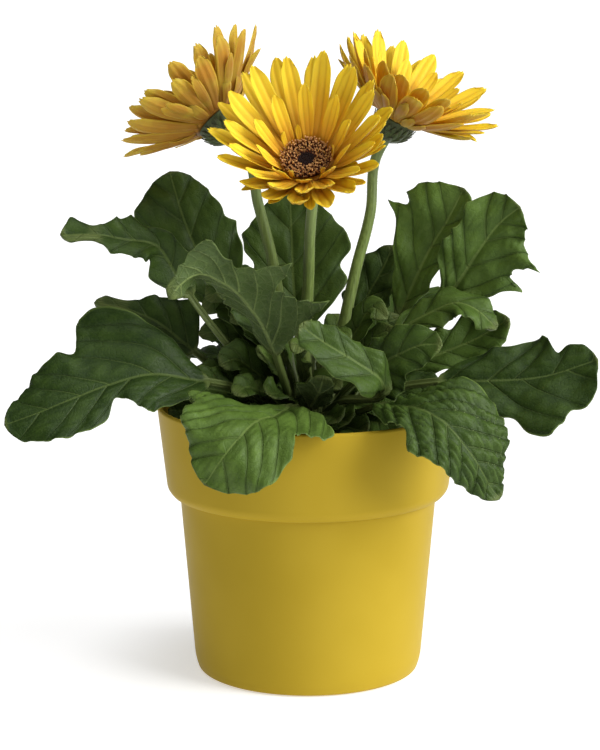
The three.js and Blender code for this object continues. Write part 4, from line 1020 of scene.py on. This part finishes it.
# What a young leaf may do to clear its neighbours, the least first: degrees it turns, share of its
# reach that it keeps, millimetres it rises
YOUNG_MOVES = [(turn, kept, rise) for kept in (1, 0.9, 0.8) for rise in (0, 7, -7)
               for turn in (0, -7, 7, -14, 14)]
CROWDED = 24  # this near the axis all stalks meet, so nothing there is counted as a crossing
YOUNG_STEPS = (2, 2.3)  # between rows and columns of points
# shares of its reach and of its height at which the rib of a young leaf passes
YOUNG_RISE = ((0.35, 0.42), (0.6, 0.74), (0.82, 0.96))


def young_leaf(spec, drawn, move):
    """A young leaf as add_leaf wants it, moved a little from where its row says."""
    way, reach, height, half, tone_and_painted_light = spec
    turn, kept, rise = move
    a = math.radians(way + turn)
    reach, height = reach * kept, max(0, height + rise)
    out, sideways = polar(1, a, 0), polar(drawn["sideways"], a + TURN / 4, 0)
    rib = [out * 9 + [0, 0, 138]]
    for far, tall in (*YOUNG_RISE, (1.0, drawn["tip"])):
        rib.append((out + sideways * far * 2) * reach * far + [0, 0, 143 + height * tall])
    face = [tuple(-0.5 * out + [0, -0.4, 0.8]), tuple(drawn["turned_in"] * out + [0, -0.9, 0.5])]
    # the young leaves' tone is raised: painted light on leaves that stand in the shade of the crown
    return dict(rib=rib, face=face, start=drawn["start"], fold=(30, 24, drawn["fold"]), wave=1.6,
                pucker=0.4, tone_and_painted_light=0.7 * tone_and_painted_light + 0.36, veins=(8, 0.9, 0.009), sharp=0.6, stout=0.6,
                half=lobed(half * drawn["left"], half * drawn["right"]))


def crossings(blade, own, standing):
    """How many faces of the blade cross what stands already, outside the crowded crown."""
    points, faces = np.concatenate(blade.points), np.concatenate(blade.faces)
    middle = points[faces].mean(axis=1)
    free = np.hypot(middle[:, 0], middle[:, 1]) > CROWDED
    return sum(int(free[mine]) for tree in standing for mine, _ in own.overlap(tree))


def make_young_leaves(standing):
    """Each young leaf makes the first of its moves that crosses least of what stands already."""
    draw = np.random.default_rng(900)
    standing = list(standing)
    whole = Blade()
    for k, spec in enumerate(YOUNG_LEAVES):
        seed = YOUNG_SEED + SEED_STEP * k
        drawn = dict(sideways=draw.normal(0, 0.1), tip=draw.uniform(0.8, 1.05),
                     turned_in=draw.uniform(-0.5, 0.25), start=draw.uniform(0.3, 0.42),
                     fold=draw.uniform(-10, 25), left=draw.uniform(0.7, 1),
                     right=draw.uniform(0.7, 1))
        best = None
        for move in YOUNG_MOVES:
            leaf, trial = young_leaf(spec, drawn, move), Blade()
            trial.add_leaf(leaf, seed, *YOUNG_STEPS)
            own = trial.tree()
            crossed = crossings(trial, own, standing)
            if best is None or crossed < best[0]:
                best = (crossed, leaf, own)
            if crossed == 0:
                break
        whole.add_leaf(best[1], seed, *YOUNG_STEPS)
        standing.append(best[2])
    whole.piece("young_leaves", "crown", "leaf")


# ---- blooms ----
BLOOMS = [
    dict(name="front", seat=(-0.4, -36, 281.6), axis=(-0.104, -0.672, 0.734), roll=10, seed=101,
         foot=(0, -4, 143), stalk=[(-2, -8, 180), (0, -12, 215), (1, -16, 245)], size=0.92, cup=9,
         raised=(-10, 270), longer=(0.23, 90)),
    dict(name="left", seat=(-50, 8, 303), axis=(-0.662, 0.27, 0.699), roll=0, seed=202,
         foot=(-6, 2.5, 143), stalk=[(-14, 0, 190), (-19, -1, 225), (-27, 0, 258)], size=0.92,
         cup=3, raised=(0, 0), longer=(0, 0)),
    dict(name="right", seat=(49, 22, 303.5), axis=(0.45, -0.2, 0.87), roll=0, seed=303,
         foot=(6, 2.5, 143), stalk=[(17, 6, 180), (26, 12, 220), (34, 19, 250)], size=0.9, cup=1,
         raised=(16, 255), longer=(-0.12, 255)),
]


def bloom_frame(bloom):
    """Takes points of a bloom's own frame (z along its axis, 0 at its seat) to the plant's."""
    axis = unit(np.array(bloom["axis"], float))
    x = unit(np.cross([0, 1, 0], axis))
    y = unit(np.cross(axis, x))
    turn = np.stack([x, y, axis])
    return lambda points: points @ turn + np.array(bloom["seat"], float)


def bloom_piece(bloom, form, word, slot):
    """The piece of a bloom that replaces the bloom's node of that slot."""
    form.piece(word + "_" + bloom["name"], slot + "_" + bloom["name"], slot)


STALK_RINGS = 110
STALK_SIDES = 28
STALK_HAIRS = 2600


def make_scape(bloom):
    """The bare flower stalk, faintly ribbed and downy, darker low down and greyer by the calyx."""
    axis = unit(np.array(bloom["axis"], float))
    end = np.array(bloom["seat"], float) - axis * (CALYX_HEIGHT + GAP)
    path = Path([bloom["foot"], *bloom["stalk"], end - axis * 9, end + axis * 0.8])
    t = np.linspace(0, 1, STALK_RINGS)
    place, along = path.at(t)
    side = unit(np.cross(along, [0.2, 1, 0.1]))
    up = unit(np.cross(side, along))
    tall, a = t[:, None], np.arange(STALK_SIDES) * TURN / STALK_SIDES
    r = lerp(3.6, 2.8, np.minimum(1, tall * 1.3)) * (1 + 0.5 * hump(tall, 0.02))
    r = r + 0.1 * np.sin(9 * a + 2 * tall) + 0.08 * ripples(a * 3, tall * 60, bloom["seed"], 6)
    rings = polar(r, a, 0) @ np.stack([side, up, along], axis=1) + place[:, None]
    share = np.append(np.repeat(t, STALK_SIDES), [0, 1])
    form = Form()
    form.add(*tube(rings), together(share, np.clip(0.75 - 1.5 * share, 0, 1), smooth(share, 0.6, 1)))
    bare = form.tree()
    draw = np.random.default_rng(bloom["seed"] + 1)
    ring = draw.integers(4, STALK_RINGS - 1, STALK_HAIRS)
    spoke = draw.integers(0, STALK_SIDES, STALK_HAIRS)
    ways = unit(rings[ring, spoke] - place[ring])
    roots = rings[ring, spoke] - ways * 0.05 + along[ring] * draw.uniform(-0.8, 0.8, (STALK_HAIRS, 1))
    hairs(form, roots, ways + along[ring] * 0.3, 1.0, 0.035, (0.5, 0, 1), bloom["seed"] + 2)
    bloom_piece(bloom, form, "stalk", "scape")
    return bare


# Each ring of petals, from the outermost in, as the solids have them
PETAL_RINGS = [
    dict(count=16, length=44.5, width=11, rise=17, curl=39, lift=0.6, root=13),
    dict(count=15, length=43, width=10.6, rise=30, curl=46, lift=2, root=13),
    dict(count=10, length=28, width=8, rise=46, curl=60, lift=2.7, root=13),
]
# Stray petals that the solids leave out: stunted ones by the eye, slender ones behind the rest
# and a few bent back
STRAY_RINGS = [
    dict(count=5, length=13, width=3.2, rise=60, curl=80, lift=3, root=12.6),
    dict(count=13, length=36, width=6, rise=14, curl=24, lift=0.3, root=13.2),
    dict(count=7, length=20, width=6.4, rise=-8, curl=54, lift=0.3, root=13.2),
]
# The rings, what is added to the bloom's seed, the radians petals may stray, rows and columns of one
PETAL_SETS = [(PETAL_RINGS, 0, 0.05, (25, 15)), (STRAY_RINGS, 5, 1, (16, 9))]
# share of the way along a petal, share of its full width
PETAL_WIDTH = [(0, 0.42), (0.3, 0.8), (0.62, 1), (0.84, 0.96), (0.95, 0.78), (1, 0.48)]
RECEPTACLE_OUTLINE = [
    (0.4, -0.1, 0), (RECEPTACLE_RADIUS - 1.2, -0.1, 0.5), (RECEPTACLE_RADIUS - 0.2, 1, 0.7),
    (RECEPTACLE_RADIUS - 0.8, RECEPTACLE_TOP, 0.6), (0.4, RECEPTACLE_TOP, 0),
]


def petals_of(bloom, rings, seed, scatter):
    """Every petal of the rings; a bloom may raise and lengthen those on one side."""
    random = seeded(seed)
    raised, longer = bloom["raised"], bloom["longer"]

    def toward(angle, way):
        return math.cos(angle - math.radians(way))

    for k, ring in enumerate(rings):
        for i in range(ring["count"]):
            angle = (math.radians(bloom["roll"]) + (i + 0.5 * (k % 2)) * TURN / ring["count"]
                     + (random() - 0.5) * scatter)
            steeper = bloom["cup"] + raised[0] * max(0, toward(angle, raised[1])) ** 2
            stretch = bloom["size"] * (1 + longer[0] * toward(angle, longer[1]))
            yield dict(
                angle=angle,
                length=ring["length"] * stretch * (0.95 + 0.1 * random()),
                width=ring["width"] * (0.92 + 0.14 * random()),
                rise=ring["rise"] + steeper + 1.5 * (random() - 0.5),
                curl=ring["curl"] + steeper + 10 * (random() - 0.5),
                lift=ring["lift"], root=ring["root"], twist=12 * (random() - 0.5),
                sway=2 * (random() - 0.5))


def petal_spine(p, tip_bend, run):
    """How far out, how high and how steep a petal's spine is at shares run of its length."""
    fine = np.linspace(0, 1.03, 160)
    lean = np.radians(lerp(p["rise"], p["curl"], fine) + tip_bend * smooth(fine, 0.65, 1.05))
    step = fine[1] * p["length"]
    r = p["root"] + np.concatenate([[0], np.cumsum(np.cos(lean))[:-1]]) * step
    z = p["lift"] + np.concatenate([[0], np.cumsum(np.sin(lean))[:-1]]) * step
    return (np.interp(run, fine, w) for w in (r, z, lean))


def petal_skin(p, grid, draw):
    """One ray petal in the bloom's frame: channelled, with two grooves and a blunt notched tip."""
    rows, columns = grid
    s = np.linspace(0, 1, rows)[:, None] ** 0.92
    a = np.linspace(-1, 1, columns)
    teeth = 0.014 * np.cos(3 * np.pi * a) * draw.uniform(0.2, 1.4)
    run = s * (1 - 0.07 * np.abs(a) ** 2.5 + teeth * s**8 + draw.uniform(-0.012, 0.012) * a * s**4)
    r, z, lean = petal_spine(p, draw.normal(0, 10), run)
    width = p["width"] * through(PETAL_WIDTH, s)
    depth = width * lerp(0.11, 0.06, s) * draw.uniform(0.5, 1.4)
    groove = width * 0.042 * smooth(s, 0.02, 0.2)
    dish = depth * (np.abs(a) ** 1.7 * 2 - 0.9) + 0.3 * np.sin(TURN * (1.1 * s + draw.random())) * a
    dish = dish - groove * hump(np.abs(a) - 0.36, 0.14) + groove * 0.5 * hump(a, 0.2)
    dish = dish + draw.normal(0, 0.5) * np.abs(a) ** 3 * smooth(s, 0.3, 1)
    thick = lerp(0.26, 0.13, s) * (1 - 0.5 * a**4)
    skins = []
    for over in (dish + thick, dish - thick):
        flat, rise = spun(width / 2 * a, over, np.radians(p["twist"] * s))
        x, y = spun(r - rise * np.sin(lean), flat + p["sway"] * s * s, p["angle"])
        skins.append(together(x, y, z + rise * np.cos(lean)))
    return *shell(*skins), np.concatenate([listed(s, a, k) for k in (0, 1)])


def make_petals(bloom):
    to_plant = bloom_frame(bloom)
    draw = np.random.default_rng(bloom["seed"] + 11)
    form = Form()
    form.add(*turned(rounded(RECEPTACLE_OUTLINE), 48), (0.1, 0, 1), to_plant)
    for rings, more, scatter, grid in PETAL_SETS:
        for p in petals_of(bloom, rings, bloom["seed"] + more, scatter):
            form.add(*petal_skin(p, grid, draw), to_plant)
    bloom_piece(bloom, form, "ray_petals", "petals")


EYE_OUTLINE = [
    (0.4, RECEPTACLE_TOP + 0.3, 0), (11.6, RECEPTACLE_TOP + 0.3, 0.6), (12.3, 4.8, 0.8),
    (11, 5.4, 1.5), (6, 4.9, 2), (0.4, 4.6, 0),
]
EYE_REACH = 12.6
FLORETS = 480
FLORET_SIDES = 7


def floret(n, draw):
    """The nth floret from the middle, in the bloom's frame: its points, faces and marks."""
    reach = EYE_REACH * math.sqrt((n + 0.5) / FLORETS)
    opened = float(smooth(reach, 4.1, 5.2))
    outer = float(smooth(reach, 7.5, 11.5))
    girth = lerp(0.45, 0.28, opened)
    tall = lerp(1.3, 2.2 + 0.9 * outer, opened) * draw.uniform(0.7, 1.25)
    mouth = lerp(0.5, 1.75, opened) * draw.uniform(0.8, 1.15)
    lean = 0.12 * reach / 13 + 0.3 * outer + draw.normal(0, 0.05 + 0.2 * opened)
    tip = draw.normal(0, 0.05 + 0.2 * opened)
    # radius, height and how tan; the last ring but one is the lip, cut into a star
    profile = np.array([(girth * 0.9, -0.8, 0), (girth, tall * 0.4, 0.2),
                        (girth * 1.05, tall * 0.75, 0.55), (girth * mouth, tall, 1),
                        (girth * 0.4, tall * 0.8, 0.3)])
    r = np.repeat(profile[:, :1], FLORET_SIDES, 1)
    r[-2] *= np.where(np.arange(FLORET_SIDES) % 2, 1.15, lerp(1, 0.55, opened))
    a = np.arange(FLORET_SIDES) * TURN / FLORET_SIDES + n
    x, y = r * np.cos(a), r * np.sin(a)
    x, z = spun(x, profile[:, 1:2], -lean)
    y, z = spun(y, z, -tip)
    x, y = spun(x + reach, y, n * GOLDEN_ANGLE)
    skin = tube(together(x, y, z + 4.6 + 0.8 * float(smooth(reach, 2, 10))))
    tan = np.append(np.repeat(profile[:, 2], FLORET_SIDES), [0, 0.3])
    tan = tan * lerp(0.12, draw.uniform(0.75, 1.1), opened)
    orange = tan * (draw.uniform(0, 0.6) if draw.random() < 0.3 * opened else 0)
    return *skin, together(tan, orange, 0)


def make_eye(bloom):
    """Florets in golden-angle order: tight black buds in the middle, open tan ones all round."""
    to_plant = bloom_frame(bloom)
    draw = np.random.default_rng(bloom["seed"] + 21)
    form = Form()
    form.add(*turned(rounded(EYE_OUTLINE), 60), (0.2, 0, 0), to_plant)
    for n in range(FLORETS):
        form.add(*floret(n, draw), to_plant)
    bloom_piece(bloom, form, "eye", "disc")


CUP_OUTLINE = [
    (0.4, -CALYX_HEIGHT, 0), (3.1, -CALYX_HEIGHT, 0.4), (7, -12.3, 1.5), (9.8, -8.8, 2),
    (11.4, -5, 2), (12.1, -0.7, 0.5), (0.4, -0.7, 0),
]
# Each row of bracts from the lowest: where on the cup it starts, and how far it stands off
BRACT_ROWS = [
    dict(count=13, start=0.2, length=8.5, width=3.6, lift=0.9),
    dict(count=17, start=3.4, length=9.5, width=3.8, lift=0.6),
    dict(count=21, start=7.0, length=9.0, width=3.6, lift=0.3),
]
CUP_HAIRS = 900


def bract(row, angle, stretch, wall, travelled):
    """A pointed bract that lies along the wall of the cup: its points, faces and marks."""
    s = np.linspace(0, 1, 11)[:, None]
    a = np.linspace(-1, 1, 7)
    far = row["start"] + s * row["length"] * stretch
    r = np.interp(far, travelled, wall[:, 0])
    z = np.interp(far, travelled, wall[:, 1]) + np.maximum(0, far - travelled[-1]) * 0.9
    half = row["width"] / 2 * np.clip(1.25 * (1 - s) ** 0.55, 0.03, 1)
    lift = row["lift"] * (0.5 + s + 0.4 * s * s) * (1 - 0.25 * a * a) + 0.25
    way = angle + half * a / np.maximum(r, 4)
    skins = []
    for thick in (0.22, -0.22):
        out = r + lift + thick * (1 - 0.6 * a * a)
        skins.append(polar(out, way, z))
    marks = listed(s, smooth(s, 0.75, 1) + 0.5 * np.abs(a) ** 4, 0.25)
    return *shell(*skins), np.concatenate([marks, marks])


def make_calyx(bloom):
    """A cup of overlapping pointed bracts in rows, with down on them."""
    to_plant = bloom_frame(bloom)
    draw = np.random.default_rng(bloom["seed"] + 31)
    form = Form()
    cup = rounded(CUP_OUTLINE)
    form.add(*turned(cup, 60), (0.3, 0.2, 0.1), to_plant)
    wall = cup[(cup[:, 0] > 2.9) & (cup[:, 1] < -0.75)]
    travelled = np.concatenate([[0], np.cumsum(np.linalg.norm(np.diff(wall, axis=0), axis=1))])
    for k, row in enumerate(BRACT_ROWS):
        for i in range(row["count"]):
            angle = (i + 0.5 * (k % 2) + draw.uniform(-0.12, 0.12)) * TURN / row["count"]
            form.add(*bract(row, angle, draw.uniform(0.85, 1.12), wall, travelled), to_plant)
    pick, a = draw.uniform(0, travelled[-1], CUP_HAIRS), draw.uniform(0, TURN, CUP_HAIRS)
    r, z = np.interp(pick, travelled, wall[:, 0]) + 0.9, np.interp(pick, travelled, wall[:, 1])
    ways = to_plant(polar(1, a, -0.2)) - to_plant(np.zeros(3))
    hairs(form, to_plant(polar(r, a, z)), ways, 1.3, 0.04, (0.5, 0, 1), bloom["seed"] + 32)
    bloom_piece(bloom, form, "bracts", "calyx")


# ---- the object ----
standing = [make_pot(), make_soil()]
make_crown()
for number, leaf in enumerate(LEAVES):
    standing.append(make_leaf(number, leaf))
for bloom in BLOOMS:
    standing.append(make_scape(bloom))
    make_calyx(bloom)
    make_petals(bloom)
    make_eye(bloom)
make_young_leaves(standing)


# ---- floor, light and camera ----
FLOOR_REACH = 30.0  # metres


def make_floor():
    mesh = bpy.data.meshes.new("floor")
    corners = [(x * FLOOR_REACH, y * FLOOR_REACH, 0) for x, y in ((-1, -1), (1, -1), (1, 1), (-1, 1))]
    mesh.from_pydata(corners, [], [(0, 1, 2, 3)])
    f = Finish("glowing_pale_floor", 0.75, Specular_IOR_Level=0.25, Emission_Color=(1, 1, 1, 1))
    place = f.place()
    away = f.node("VectorMath", {0: place}, operation="LENGTH").outputs["Value"]
    # painted light: the floor glows, and away from the pot it glows more and is darker, so that the
    # shadows the lamps cast fade out beyond the foot
    far = f.step(away, FOOT_RADIUS, 2.4 * FOOT_RADIUS)
    cloud = f.noise(place, 0.004, 2.0)
    near = f.mix(f.step(cloud, 0.3, 0.7), (0.74, 0.74, 0.74), (0.76, 0.76, 0.76))
    f.colour(f.mix(far, near, (0.35, 0.35, 0.35)))
    f.link(f.line(far, 0.35, 0.5), "Emission Strength")
    mesh.materials.append(f.material)
    floor = in_scene("floor", mesh)


def add_sun(name, place, strength, spread):
    """A broad soft light that shines from place towards the plant."""
    lamp = bpy.data.lights.new(name, "SUN")
    lamp.energy = strength * math.pi
    lamp.angle = math.radians(spread)
    made = in_scene(name, lamp)
    made.rotation_euler = Vector(place).to_track_quat("Z", "Y").to_euler()


def make_light():
    world = bpy.data.worlds.new("studio")
    world.use_nodes = True
    background = world.node_tree.nodes["Background"]
    background.inputs["Color"].default_value = (1, 1, 1, 1)
    background.inputs["Strength"].default_value = 0.1
    bpy.context.scene.world = world
    add_sun("key", (1.0, -0.42, 0.6), 1.25, 45)
    add_sun("top", (0.1, -0.25, 1), 0.4, 60)


CAMERA_PLACE = (-0.0044, -1.264, 0.396)
CAMERA_PITCH = 10.4  # degrees below the horizon
FOCAL_PIXELS = 2351
PICTURE_HEIGHT = 750


def make_camera():
    lens = bpy.data.cameras.new("camera")
    lens.sensor_width = 36
    lens.lens = 36 * FOCAL_PIXELS / PICTURE_HEIGHT
    lens.clip_start, lens.clip_end = 0.05, 100
    made = in_scene("camera", lens)
    made.location = CAMERA_PLACE
    made.rotation_euler = (math.radians(90 - CAMERA_PITCH), 0, 0)
    bpy.context.scene.camera = made


make_floor()
make_light()
make_camera()
bpy.context.scene.view_settings.view_transform = "Standard"
